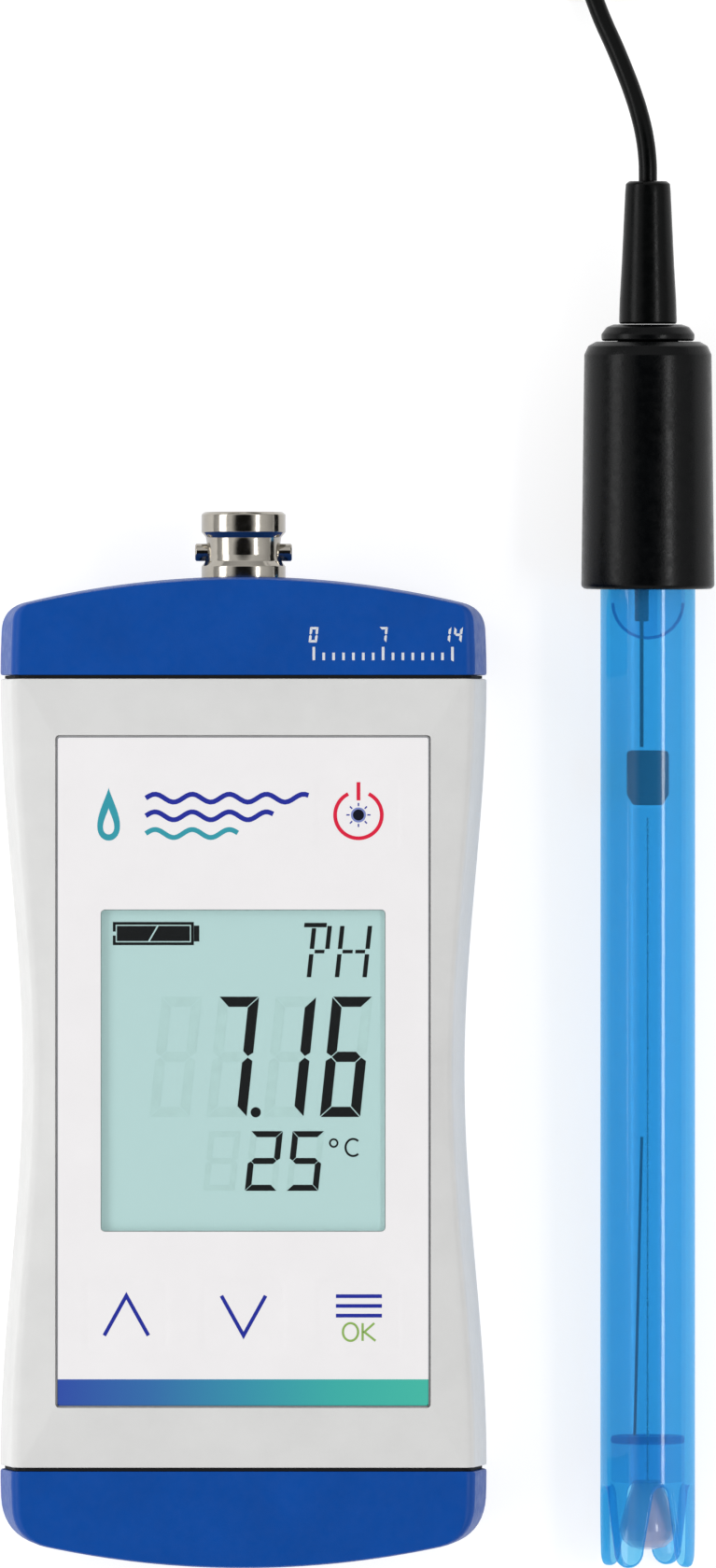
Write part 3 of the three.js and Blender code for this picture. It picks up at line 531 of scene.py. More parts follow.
def plate(name, loops, z0, z1, material):
    """A flat plate from outlines in millimetres; an outline inside another is a hole."""
    curve = bpy.data.curves.new(name, "CURVE")
    curve.dimensions = "2D"
    curve.fill_mode = "BOTH"
    curve.extrude = (z1 - z0) / 2 * MM
    for loop in loops:
        spline = curve.splines.new("POLY")
        spline.points.add(len(loop) - 1)
        for point, (x, y) in zip(spline.points, loop):
            point.co = (x * MM, y * MM, 0, 1)
        spline.use_cyclic_u = True
    temporary = link(name + "_outline", curve)
    data = evaluated(temporary)
    bpy.data.objects.remove(temporary)
    data.transform(Matrix.Translation((0, 0, (z0 + z1) / 2 * MM)))
    data.materials.clear()
    data.materials.append(material)
    made = link(name, data)
    face_out(made, weld=1e-7)
    smooth(made)
    return made


def prism(name, loop, z0, z1):
    """An upright solid over an outline, for carving."""
    return skin(name, [[(x, y, z) for x, y in loop] for z in (z0, z1)], GREY_ABS)


def post(axis, start, stop, radius, centre, sides=40):
    """A plain cylinder along y or z, for carving, with its centre as (x, z) or (x, y)."""
    circle = arc(*centre, radius, 0, 360, sides)[:-1]
    rings = []
    for along in (start, stop):
        rings.append([(a, along, b) if axis == "y" else (a, b, along) for a, b in circle])
    return skin("post", rings, GREY_ABS)


def show(target, body, *nodes, slot=None):
    """Puts a piece on its CAD body, in place of the CAD nodes that it stands for."""
    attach(target, body)
    if nodes:
        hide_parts(*nodes)
    return target


def show_shell(target, body, node, slot):
    """Shows a moulded shell, with its flat faces kept flat where they meet a rounded edge."""
    target.modifiers.new("normals", "WEIGHTED_NORMAL").keep_sharp = True
    show(target, body, node, slot=slot)


# ---------------------------------------------------------------- the case

HALF_WIDTH = 27.6  # at both ends of the grey body
WAIST = 1.25  # half of what the waist takes off each side
BODY_HALF = 44.6  # from the middle to the grey body's ends
CAP_START = 45.05  # from the middle to the caps
CASE_HALF = 56.25  # from the middle to the caps' ends
CAP_TAPER = 0.6  # how much a cap loses at each side towards its end
END_RADIUS = 106.0  # of the flat arc along a cap's end
SHOULDERS = {"top": 2.4, "bottom": 4.4}  # how far the caps' outer corners are rounded
PLATEAU = 27.7  # height of the front face round the foil
FOIL_SEAT = 27.15
FOIL_TOP = 27.6
FOIL_BOX = (-21.1, -37.7, 21.1, 38.1)  # left, lower, right and upper edge
DISPLAY = (0.0, 0.3, 32.2, 36.4)  # x and y of the middle, width and height
KEYS = {"power": (13.05, 29.2), "up": (-13.2, -27.4), "down": (0.05, -27.4), "menu": (13.1, -27.4)}
KEY_SIZE = (9.6, 8.4)
KEY_ROOM = 0.6  # how much wider and higher a key's pocket is
END_DRAFT = 0.2  # the ends slope this share of what the sides do
JACK_Z = 14.0
SEAM_ROUND = 0.22  # radius of the shells' and caps' corners at the seams
SEAM_LIP = 0.12  # bevel of the seam between the two shells
REAR_TOP, FRONT_BASE = 13.75, 14.05  # the two shells stop and start at these heights
SIDE_FOOT, SIDE_HEAD = 13.0, 15.0  # the sides stand upright between these heights


def half_width(y):
    away = abs(y)
    if away <= BODY_HALF:
        return HALF_WIDTH - WAIST * (1 + math.cos(math.pi * y / BODY_HALF))
    share = (away - BODY_HALF) / (CASE_HALF - BODY_HALF)
    return HALF_WIDTH - CAP_TAPER * share * share


def end_arc(x, half):
    return half - (END_RADIUS - math.sqrt(END_RADIUS ** 2 - x * x))


def body_ring(z, inset, end_inset, side=None, top=None, bottom=None, corner=SEAM_ROUND):
    """One level of the grey body: waisted sides, straight ends and small round corners.

    side gives half the width at a y, and top and bottom are the ends, where they aren't the body's own.
    """
    side = side or (lambda y: half_width(y) - inset)
    top = BODY_HALF - end_inset if top is None else top
    bottom = end_inset - BODY_HALF if bottom is None else bottom
    rows, columns, bends = 44, 8, 3
    right = []
    for k in range(columns // 2):
        share = k / (columns / 2)
        right.append(((side(top) - corner) * share, top))
    right += arc(side(top) - corner, top - corner, corner, 90, 0, bends)[:-1]
    for k in range(rows + 1):
        y = top - corner + (bottom - top + 2 * corner) * k / rows
        right.append((side(y), y))
    right += arc(side(bottom) - corner, bottom + corner, corner, 0, -90, bends)[1:]
    for k in range(1, columns // 2):
        share = 1 - k / (columns / 2)
        right.append(((side(bottom) - corner) * share, bottom))
    left = [(-x, y) for x, y in right[1:]][::-1]
    return [(x, y, z) for x, y in right + [(0, bottom)] + left]


def fillet(z, inset, radius, direction=1):
    """Levels of a rounded edge: (height, inset) from an upright wall to a flat face."""
    steps = 5
    made = []
    for k in range(steps + 1):
        turn = math.radians(90 * k / steps)
        made.append((z + direction * radius * math.sin(turn), inset + radius * (1 - math.cos(turn))))
    return made


EDGE = 1.2
FRONT_EDGE = fillet(25.9, 1.3, EDGE)
REAR_EDGE = fillet(EDGE, 1.4, EDGE, direction=-1)
# The room inside the case: (height, inset from the outer sides).
ROOM = [(2.0, 4.2), (3.2, 3.4), (SIDE_FOOT, 2.2), (SIDE_HEAD, 2.2), (24.4, 3.4), (25.0, 4.0)]


def hollow():
    """The room inside the case, as a solid that carves it out. It runs past both ends of the body."""
    return skin("hollow", [body_ring(z, inset, -2.0, corner=0.05) for z, inset in ROOM], GREY_ABS)


def rect_side(half):
    return lambda y: half


CASE_SCREWS = [(x, y) for y in (36, -28) for x in (-20.6, 20.6)]
CAP_SCREWS = [(x, 9.2) for x in (-20.6, 20.6)]  # x and z
SCREW_HOLE, HEAD_HOLE = 1.8, 3.1  # radii


def make_front_shell():
    levels = [(FRONT_BASE, SEAM_LIP), (FRONT_BASE + SEAM_LIP, 0.0), (SIDE_HEAD, 0.0)] + FRONT_EDGE
    rings = [body_ring(z, inset, 0.6 * max(0.0, inset - 2.2)) for z, inset in levels]
    x0, y0, x1, y1 = FOIL_BOX
    # The step down to the foil's seat: (height, room round the foil).
    for z, margin in [(PLATEAU, 0.3), (PLATEAU, 0.12), (FOIL_SEAT, 0.12)]:
        rings.append(body_ring(z, 0, 0, rect_side(x1 + margin), y1 + margin, y0 - margin, 0.4))
    x, y, width, height = DISPLAY
    for z in (FOIL_SEAT, 24.0):
        rings.append(body_ring(z, 0, 0, rect_side(width / 2), y + height / 2, y - height / 2, 0.5))
    shell = skin("front_case", rings, GREY_ABS)
    carve(shell, hollow())
    for kx, ky in KEYS.values():
        loop = rounded_rect(kx, ky, KEY_SIZE[0] + KEY_ROOM, KEY_SIZE[1] + KEY_ROOM, 1.2)
        carve(shell, prism("pocket", loop, 26.4, 27.9))
    show_shell(shell, "meter_case", "front_shell", "grey_shell")


def make_rear_shell():
    levels = [(REAR_TOP, SEAM_LIP), (REAR_TOP - SEAM_LIP, 0.0), (SIDE_FOOT, 0.0)] + REAR_EDGE
    rings = [body_ring(z, inset, 0.5 * max(0.0, inset - 2.1)) for z, inset in levels]
    shell = skin("rear_case", rings, GREY_ABS)
    carve(shell, hollow())
    # Each screw has a round post with a hole.
    for place in CAP_SCREWS:
        carve(shell, post("y", -44.7, -33.5, 3.4, place), "UNION")
        carve(shell, post("y", -60, -34.7, SCREW_HOLE, place))
    for place in CASE_SCREWS:
        carve(shell, post("z", 1.5, 13.7, 4.1, place), "UNION")
        carve(shell, post("z", -1, 3.2, HEAD_HOLE, place))
        carve(shell, post("z", 3, 20, SCREW_HOLE, place))
    show_shell(shell, "meter_case", "rear_shell", "grey_shell")


def cap_ring(z, inset, end_inset, end, corner=SEAM_ROUND):
    """One level of an end cap: a straight seam edge, sides, rounded shoulders and a flat arc."""
    shoulder = SHOULDERS["top" if end > 0 else "bottom"]
    half = CASE_HALF - end_inset
    side = half_width(half - 3) - inset
    size = shoulder - 0.6 * min(inset, shoulder)
    start = Vector((side - size, end_arc(side - size, half)))
    bend = Vector((side, end_arc(side, half)))
    stop = Vector((half_width(bend.y - size) - inset, bend.y - size))
    right = [(start.x * k / 16, end_arc(start.x * k / 16, half)) for k in range(16)]
    right += curved(start, bend, stop, 10)
    low = CAP_START + corner
    for k in range(1, 6):
        y = stop.y + (low - stop.y) * k / 5
        right.append((half_width(y) - inset, y))
    wide = half_width(CAP_START) - inset
    right += arc(wide - corner, low, corner, 0, -90, 3)[1:]
    for k in range(1, 4):
        right.append(((wide - corner) * (1 - k / 4), CAP_START))
    left = [(-x, y) for x, y in right[1:]][::-1]
    return [(x, end * y, z) for x, y in right + [(0, CAP_START)] + left]


def collar_solid(clear, y0, y1, end):
    """The part of the case's inner room between two distances from the middle, with clear room round it."""
    rings = []
    for i, (z, inset) in enumerate(ROOM):
        lift = clear if i < 2 else (-clear if i > 3 else 0)
        side = half_width(BODY_HALF) - inset - clear
        ring = rounded_rect(0, end * (y0 + y1) / 2, 2 * side, y1 - y0, 0.3)
        rings.append([(x, y, z + lift) for x, y in ring])
    return skin("collar", rings, BLUE_ABS)


def make_cap(name, end):
    levels = REAR_EDGE[::-1] + [(SIDE_FOOT, 0.0), (SIDE_HEAD, 0.0)] + FRONT_EDGE
    rings = [cap_ring(z, inset, END_DRAFT * inset, end) for z, inset in levels]
    cap = skin(name, rings, BLUE_ABS)
    # A collar that reaches into the body, and the hollow in it and in the cap.
    carve(cap, collar_solid(0.25, 41.6, 49.0, end), "UNION")
    carve(cap, collar_solid(1.7, 40.0, 52.6, end))
    return cap


def make_top_cap():
    cap = make_cap("top_end_cap", 1)
    carve(cap, post("y", 54.5, 70, 5.1, (0, JACK_Z), sides=64))
    carve(cap, post("y", 40, 70, 4.3, (0, JACK_Z), sides=64))
    show_shell(cap, "meter_case", "top_cap", "blue_cap")


def make_bottom_cap():
    cap = make_cap("battery_end_cap", -1)
    # Room for the body's two posts, a tube for each screw, and the contact bridge's posts.
    for x, z in CAP_SCREWS:
        low, high = 0.05 - CAP_START, -40
        notch = [(x - 4.2, low), (x + 4.2, low), (x + 4.2, high), (x - 4.2, high)]
        carve(cap, prism("notch", notch, -1, z + 4.2))
        carve(cap, post("y", -52.6, -CAP_START, 4.3, (x, z)), "UNION")
        carve(cap, post("y", -60, -50.4, HEAD_HOLE, (x, z)))
        carve(cap, post("y", -60, -40, SCREW_HOLE, (x, z)))
        bridge_post = (math.copysign(8.0, x), 11.3)
        carve(cap, post("y", -53.0, -47.65, 3.0, bridge_post), "UNION")
    show_shell(cap, "battery_cap", "bottom_cap", "blue_cap")


# ---------------------------------------------------------------- the front foil, keys and print

PRESS_DIP = 0.03  # a key's patch lies this much lower than the foil, and its border slopes down to it
SKIRT = 0.8
INK = 0.012
PRINT_LEVEL = FOIL_TOP + 0.001
KEY_LEVEL = PRINT_LEVEL - PRESS_DIP
STROKE = 0.42  # width of the lines of the signs on the keys


def key_loop(name, grow):
    x, y = KEYS[name]
    width, height = [size + KEY_ROOM - 2 * SKIRT + 2 * grow for size in KEY_SIZE]
    return rounded_rect(x, y, width, height, 0.5 + grow)


def make_foil():
    x0, y0, x1, y1 = FOIL_BOX

    def outline(inset, corner):
        return rounded_rect((x0 + x1) / 2, (y0 + y1) / 2, x1 - x0 - 2 * inset, y1 - y0 - 2 * inset, corner)

    loops = [outline(0, 0.4), rounded_rect(*DISPLAY, 0.45)]
    loops += [key_loop(name, SKIRT) for name in KEYS]
    foil = plate("foil", loops, FOIL_SEAT + 0.02, FOIL_TOP, FOIL)
    show(foil, "meter_case", "front_foil", slot="foil")
    left, right, low, high = x0 + 0.1, x1 - 0.1, y0 + 0.1, -34.6
    strip = [(left, low), (right, low), (right, high), (left, high)]
    ink("foil_gradient_strip", [strip], rainbow_strip(x0 * MM, x1 * MM), "meter_case", PRINT_LEVEL)
    # Painted shadow: a thin grey line just inside the foil's edge, where the gap at the rim is.
    ink("foil_outline", [outline(0.02, 0.38), outline(0.15, 0.25)], FOIL_GAP_SHADOW_INK, "meter_case", PRINT_LEVEL)


def make_key(name):
    """The key's patch of the foil, and the border round it, which slopes down to the patch."""
    body = name + "_key"
    low = FOIL_TOP - PRESS_DIP
    patch = plate(name + "_key_patch", [key_loop(name, 0)], low - 0.2, low, FOIL)
    show(patch, body, "key_" + name, slot="foil")
    steps = 6
    rings = []
    for k in range(steps + 1):
        share = k / steps
        dip = PRESS_DIP * (1 - math.cos(math.pi * share)) / 2
        rings.append([(x, y, FOIL_TOP - dip) for x, y in key_loop(name, SKIRT * (1 - share))])
    for grow in (0, SKIRT - 0.02):
        rings.append([(x, y, low - 0.1) for x, y in key_loop(name, grow)])
    skirt = skin(name + "_key_border", rings, FOIL, sharp=35, ends=False)
    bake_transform(skirt)


def ribbon(points, width, closed=False):
    """Outlines of a stroke of even width along a 2-D line, with mitred corners."""
    line = [Vector(p) for p in points]
    count = len(line)
    left, right = [], []
    for i, here in enumerate(line):
        before = line[i - 1] if (i or closed) else None
        after = line[(i + 1) % count] if (i < count - 1 or closed) else None
        ways = [(here - before).normalized()] if before is not None else []
        ways += [(after - here).normalized()] if after is not None else []
        along = sum(ways, Vector((0, 0))).normalized()
        normal = Vector((-along.y, along.x))
        scale = 1 / max(0.35, along.dot(ways[0]))
        left.append(tuple(here + normal * scale * width / 2))
        right.append(tuple(here - normal * scale * width / 2))
    return [left, right] if closed else [left + right[::-1]]


def disc(x, y, radius):
    return arc(x, y, radius, 0, 360, 32)[:-1]


def ink(name, loops, material, body, level, slot="foil"):
    show(plate(name, loops, level, level + INK, material), body, slot=slot)


def print_power_key():
    x, y = KEYS["power"]
    ring = ribbon(arc(x, y, 2.64, 116, 424, 60), STROKE)
    stroke = ribbon([(x, y + 1.65), (x, y + 3.71)], STROKE)
    ink("power_key_ring", ring, RED_INK, "power_key", KEY_LEVEL)
    ink("power_key_bar", stroke, RED_INK, "power_key", KEY_LEVEL)
    rays = []
    for k in range(8):
        turn = math.radians(45 * k)
        way = Vector((math.cos(turn), math.sin(turn)))
        middle = Vector((x, y))
        rays += ribbon([tuple(middle + way * 1.0), tuple(middle + way * 1.36)], 0.15)
    ink("power_key_rays", rays, BLUE_INK, "power_key", KEY_LEVEL)
    ink("power_key_halo", [disc(x, y, 0.85), disc(x, y, 0.63)], PALE_INK, "power_key", KEY_LEVEL)
    ink("power_key_lamp", [disc(x, y, 0.63)], BLACK_INK, "power_key", KEY_LEVEL)


def print_arrow_keys():
    for name, turn in (("up", 1), ("down", -1)):
        x, y = KEYS[name]
        low, high = y - 2.25 * turn, y + 2.25 * turn
        loop = ribbon([(x - 2.5, low), (x, high), (x + 2.5, low)], STROKE)
        ink(name + "_key_arrow", loop, BLUE_INK, name + "_key", KEY_LEVEL)


def print_menu_key():
    x, y = KEYS["menu"]
    thin = 0.25
    bars = []
    for k in range(3):
        bars += ribbon([(x - 2.6, y + 2.2 - 1.1 * k), (x + 2.6, y + 2.2 - 1.1 * k)], STROKE)
    ink("menu_key_bars", bars, BLUE_INK, "menu_key", KEY_LEVEL)
    base = y - 2.85
    letter_o = ribbon(arc(x - 0.95, base + 1.0, 0.86, 0, 350, 35, stretch=1.16), thin, closed=True)
    ink("menu_key_round", letter_o, GREEN_INK, "menu_key", KEY_LEVEL)
    left = x + 0.42
    upright = ribbon([(left, base), (left, base + 2.0)], thin)
    arms = ribbon([(left + 1.32, base + 2.0), (left + 0.2, base + 1.0), (left + 1.45, base)], thin)
    ink("menu_key_upright", upright, GREEN_INK, "menu_key", KEY_LEVEL)
    ink("menu_key_arms", arms, GREEN_INK, "menu_key", KEY_LEVEL)


def drop(x, y, size):
    """The outline of a drop of water with its point up."""
    loop = []
    for k in range(40):
        turn = 2 * math.pi * k / 40
        pinch = math.sin(turn / 2) ** 1.6
        loop.append((x + size * 0.62 * pinch * math.sin(turn), y + size * math.cos(turn)))
    return loop


def print_emblem():
    """A plain sign for a liquid: a drop, and three waves beside it."""
    loops = [drop(-15.2, 29.3, 3.0), drop(-15.2, 28.5, 1.5)]
    ink("emblem_drop", loops, TEAL_INK, "meter_case", PRINT_LEVEL)
    for row, (length, colour) in enumerate(((18.4, BLUE_INK), (14.4, BLUE_INK), (10.4, TEAL_INK))):
        y = 31.1 - 2.0 * row
        line = []
        for k in range(49):
            share = k / 48
            line.append((-11.0 + length * share, y + 0.45 * math.sin(2 * math.pi * length / 4.2 * share)))
        ink(f"emblem_wave_{row + 1}", ribbon(line, 0.55), colour, "meter_case", PRINT_LEVEL)


def print_scale():
    """A small scale on the top cap, with the fifteen marks of the pH range and the numbers 0, 7 and 14."""
    level = 27.101  # just above the top cap
    step, left, base = 1.12, 8.0, 46.7
    loops = []
    for k in range(15):
        x = left + step * k
        height = 1.5 if k % 7 == 0 else 0.85
        loops += ribbon([(x, base), (x, base + height)], 0.3)
    loops += ribbon([(left - 0.15, base), (left + 14 * step + 0.15, base)], 0.3)
    ink("cap_scale", loops, LIGHT_INK, "meter_case", level, slot="blue_cap")
    size = dict(height=1.75, width=0.95, thick=0.28)
    for k, value in ((0, "0"), (7, "7"), (14, "14")):
        digits = []
        for i, sign in enumerate(value):
            x = left + step * k - 0.5 - 0.65 * (len(value) - 1) + 1.3 * i
            digits += digit(sign, x, base + 2.0, **size)
        ink(f"cap_number_{value}", digits, LIGHT_INK, "meter_case", level, slot="blue_cap")


# ---------------------------------------------------------------- the display

LCD_TOP = 26.9
SLANT = math.tan(math.radians(6))
SEGMENTS = {
    "0": "abcdef", "1": "bc", "2": "abged", "4": "fgbc", "5": "afgcd", "6": "afgedc", "7": "abc",
    "8": "abcdefg",
}


def segment_loops(letter, x, y, width, height, thick):
    """One bar of a seven-bar digit whose lower left corner is x, y."""
    gap = thick * 0.07
    t = thick
    mid = height / 2
    up, down = (mid + gap, height - gap), (gap, mid - gap)
    bars = {
        "a": [(gap, height), (width - gap, height), (width - t - gap, height - t), (t + gap, height - t)],
        "d": [(gap, 0), (width - gap, 0), (width - t - gap, t), (t + gap, t)],
        "g": [(t * 0.5 + gap, mid), (t + gap, mid + t / 2), (width - t - gap, mid + t / 2),
              (width - t * 0.5 - gap, mid), (width - t - gap, mid - t / 2), (t + gap, mid - t / 2)],
        "b": [(width, up[1]), (width - t, up[1] - t), (width - t, up[0] + t / 2), (width - t / 2, up[0]),
              (width, up[0] + t / 3)],
        "c": [(width, down[0]), (width - t, down[0] + t), (width - t, down[1] - t / 2),
              (width - t / 2, down[1]), (width, down[1] - t / 3)],
    }
    bars["f"] = [(width - px, py) for px, py in bars["b"]]
    bars["e"] = [(width - px, py) for px, py in bars["c"]]
    return [(x + px + SLANT * (py - mid), y + py) for px, py in bars[letter]]


def digit(value, x, y, width, height, thick):
    return [segment_loops(s, x, y, width, height, thick) for s in SEGMENTS[value]]


def lean(loop, base):
    return [(x + SLANT * (y - base), y) for x, y in loop]


def bar(x0, y0, x1, y1, width):
    return ribbon([(x0, y0), (x1, y1)], width)[0]


def unit_letters():
    """The upper line of the display, PH, in straight bars."""
    top, mid, low, t = 17.0, 13.75, 10.85, 0.5
    split = 0.3
    loops = []
    for x, drop_from_top in ((7.75, 0.6), (9.5, 0.35), (10.93, 0.35), (14.05, 0.35)):
        loops.append(bar(x, mid + split, x, top - drop_from_top, t))
    for x in (7.75, 10.93, 14.05):
        loops.append(bar(x, low, x, mid - split, t))
    loops.append(bar(6.6, top - t / 2, 9.15, top - t / 2, t))
    for x0, x1 in ((8.1, 9.2), (11.25, 12.4), (12.7, 13.8)):
        loops.append(bar(x0, mid, x1, mid, t * 0.8))
    return [lean(loop, mid) for loop in loops]


def degree_letter(x, y):
    ring = ribbon(arc(x, y, 0.43, 0, 350, 35), 0.21, closed=True)
    letter = ribbon(arc(x + 2.2, y - 0.5, 0.86, 48, 312, 30, stretch=1.12), 0.24)
    return ring, letter


def battery_icon(x0, y0, x1, y1):
    """The battery sign: an open frame with its terminal, and a filled middle cut by a slanted line."""
    t, gap = 0.32, 0.13
    mid = (y0 + y1) / 2
    end = x1 - 0.62
    half = t / 2
    path = [
        (x0 + half, mid + 0.22), (x0 + half, y1 - half), (end - half, y1 - half),
        (end - half, y0 + half), (x0 + half, y0 + half), (x0 + half, mid - 0.22),
    ]
    left, right, low, high = x0 + t + gap, end - t - gap, y0 + t + gap, y1 - t - gap
    cut = (left + right) / 2
    return {
        "frame": ribbon(path, t),
        "fill_left": [[(left, low), (cut - 0.6, low), (cut + 0.4, high), (left, high)]],
        "fill_right": [[(cut - 0.4, low), (right, low), (right, high), (cut + 0.6, high)]],
        "terminal": [[(end + 0.02, mid - 0.9), (x1, mid - 0.9), (x1, mid + 0.9), (end + 0.02, mid + 0.9)]],
    }


def make_display():
    x, y, width, height = DISPLAY
    loop = rounded_rect(x, y, width - 0.1, height - 0.1, 0.4)
    show(plate("lcd_panel", [loop], 23.7, LCD_TOP, lcd_face()), "meter_case", "lcd_glass", slot="lcd")
    loop = rounded_rect(x, y, width - 0.02, height - 0.02, 0.44)
    pane = plate("window_pane", [loop], 27.17, 27.5, PANE)
    show(pane, "meter_case", "display_window", slot="window")
    level = LCD_TOP + 0.001

    def mark(name, loops, material=LCD_INK, up=0.0):
        ink(name, loops, material, "meter_case", level + up, slot="lcd")

    ghost = printed("lcd_ghost", linear(178, 207, 204), 0.35)

    def number(kind, places, base, **size):
        """Digits over the faint bars of those that are off. A blank stands for a digit that is off."""
        for k, (value, left) in enumerate(places):
            mark(f"lcd_{kind}ghost_{k + 1}", digit("8", left, base, **size), ghost, -0.0005)
            if value != " ":
                mark(f"lcd_{kind}digit_{k + 1}", digit(value, left, base, **size), up=0.004)

    places = ((" ", -9.9), ("7", -3.45), ("1", 3.0), ("6", 9.4))
    number("", places, -4.95, height=13.6, width=4.55, thick=1.15)
    mark("lcd_point", [disc(1.43, -4.42, 0.58)])
    places = ((" ", -4.2), ("2", 0.55), ("5", 5.25))
    number("small_", places, -13.3, height=6.75, width=3.6, thick=0.68)
    mark("lcd_unit", unit_letters())
    ring, letter = degree_letter(10.25, -7.9)
    mark("lcd_degree", ring)
    mark("lcd_celsius", letter)
    for name, loops in battery_icon(-14.73, 14.48, -4.95, 17.1).items():
        mark("lcd_battery_" + name, loops)


# ---------------------------------------------------------------- the jack

JACK_FRAME = Matrix.Translation((0, 0, JACK_Z))


def make_jack():
    rim, radius = 63.6, 4.8
    profile = [
        (4.05, rim), (4.45, rim), (radius, rim - 0.3), (radius, rim - 2.3), (4.3, rim - 2.9),
        (4.2, rim - 3.6), (4.2, rim - 4.9), (4.35, rim - 5.6), (radius, rim - 6.2), (radius, 55.25),
        (4.0, 55.25), (4.0, 46.0), (3.0, 46.0), (3.0, 53.4), (4.05, 53.4),
    ]
    shell = lathe("jack_barrel", profile, NICKEL, JACK_FRAME, sides=96, round_off=0.22)
    show(shell, "meter_case", "jack_shell", slot="nickel")
    turn_x = Matrix.Rotation(-math.pi / 2, 4, "Z")
    place = Matrix.Translation((0, 59.0, JACK_Z)) @ turn_x
    for name, side in (("jack_lug_left", -1), ("jack_lug_right", 1)):
        lug = [(0, side * 3.7), (1.0, side * 3.7), (1.0, side * 5.35), (0.85, side * 5.5), (0, side * 5.5)]
        show(lathe(name, lug, NICKEL, place, sides=40, round_off=0.1), "meter_case", slot="nickel")
    sleeve = [(1.15, 44.8), (2.9, 44.8), (2.9, 53.6), (2.4, 53.6), (2.4, 62.4), (1.15, 62.4)]
    piece = lathe("jack_sleeve", sleeve, PTFE, JACK_FRAME)
    show(piece, "meter_case", "jack_insulator", slot="white_insulator")
    socket = [
        (0, 42.2), (0.75, 42.2), (0.75, 44.4), (1.05, 44.4), (1.05, 61.9), (0.6, 61.9), (0.6, 57), (0, 57),
    ]
    piece = lathe("jack_socket", socket, GOLD, JACK_FRAME, sides=32, round_off=0.08)
    show(piece, "meter_case", "jack_contact", slot="brass")


# ---------------------------------------------------------------- the electrode

SHAFT_RADIUS, SHAFT_BORE, SHAFT_BELOW = 5.4, 4.3, 111.3
RIM_RADIUS = 7.6
GRIP_LENGTH = 28.15
RESIN_END = -1.6  # where the resin's round end starts
PRONGS = 4
FIRST_NOTCH = 18  # degrees from straight up
TILT = math.atan((RIM_RADIUS - SHAFT_RADIUS) / SHAFT_BELOW)  # it rests on the grip's rim and the crown
AXIS_X = 46.0
RIM_Y = 54.9
ELECTRODE_FRAME = (
    Matrix.Translation((AXIS_X, RIM_Y, RIM_RADIUS * math.cos(TILT))) @ Matrix.Rotation(TILT, 4, "X")
)
TIP = -SHAFT_BELOW


def crown_edge():
    """Half of the crown's edge, from the middle of a notch to the middle of a prong: (sideways, height)."""
    top = TIP + 9.2
    radius = 1.15
    edge = arc(0, top - radius, radius, 90, 0, 6)
    half_pitch = SHAFT_RADIUS * math.pi / PRONGS
    wide, bend = 2.27, half_pitch - 2.27
    low = TIP + bend
    for k in range(1, 7):
        share = k / 7
        edge.append((radius + (wide - radius) * share, top - radius + (low - top + radius) * share))
    return edge + arc(wide + bend, low, bend, 180, 270, 6)


def crown_columns():
    """Columns round the shaft: (angle, height of the edge, inward normal in the surface)."""
    half = crown_edge()
    pitch = 2 * half[-1][0]
    whole = half + [(pitch - s, y) for s, y in half[-2:0:-1]]
    columns = []
    for notch in range(PRONGS):
        first = math.radians(FIRST_NOTCH + 360 / PRONGS * notch)
        for i, (s, y) in enumerate(whole):
            before = whole[i - 1] if i else (whole[-1][0] - pitch, whole[-1][1])
            after = whole[i + 1] if i < len(whole) - 1 else (pitch, whole[0][1])
            along = Vector((after[0] - before[0], after[1] - before[1])).normalized()
            columns.append((first + s / SHAFT_RADIUS, y, Vector((-along.y, along.x))))
    return columns


def make_shaft():
    """The clear blue tube, from its four-pronged crown up into the grip."""
    columns = crown_columns()
    soft = 0.3
    R, B = SHAFT_RADIUS, SHAFT_BORE
    bend = soft * (1 - math.cos(math.radians(45)))
    rim = [(R, soft), (R - bend, bend), (R - soft, 0), (B + soft, 0), (B + bend, bend), (B, soft)]
    top = 6.0
    start = TIP + 11.0  # above it the rows are plain circles

    def straight(radius, y):
        return [(radius, angle, y) for angle, _, _ in columns]

    def faded(radius, share):
        """A row that goes over from the crown's edge to a plain circle as share goes from 0 to 1."""
        left = 1 - share
        return [
            (radius, angle + n.x * soft / R * left, (edge + n.y * soft) * left + start * share)
            for angle, edge, n in columns
        ]

    rows = [straight(R, y) for y in (top, -10.0, -60.0, start)]
    rows += [faded(R, share) for share in (0.7, 0.45, 0.25, 0.1)]
    for radius, offset in rim:
        rows.append([(radius, angle + n.x * offset / R, edge + n.y * offset) for angle, edge, n in columns])
    bore_start = (len(rows) - 1) * len(columns)
    rows += [faded(B, share) for share in (0.1, 0.25, 0.45, 0.7, 1.0)]
    rows.append(straight(B, top))
    bore_end = (len(rows) - 1) * len(columns)
    rings = []
    for row in rows:
        ring = [Vector((radius * math.sin(angle), y, radius * math.cos(angle))) for radius, angle, y in row]
        rings.append([ELECTRODE_FRAME @ point for point in ring])
    shaft = skin("shaft", rings, SHAFT_BLUE, sharp=60, ends=False)
    shaft.data.materials.append(SHAFT_BORE_BLUE)
    for face in shaft.data.polygons[bore_start:bore_end]:
        face.material_index = 1
    show(shaft, "electrode", "electrode_shaft", slot="blue_shaft")


def turned(name, profile, material, *nodes, slot, place=ELECTRODE_FRAME, **settings):
    """A turned piece of the electrode or of its plug."""
    show(lathe(name, profile, material, place, **settings), "electrode", *nodes, slot=slot)


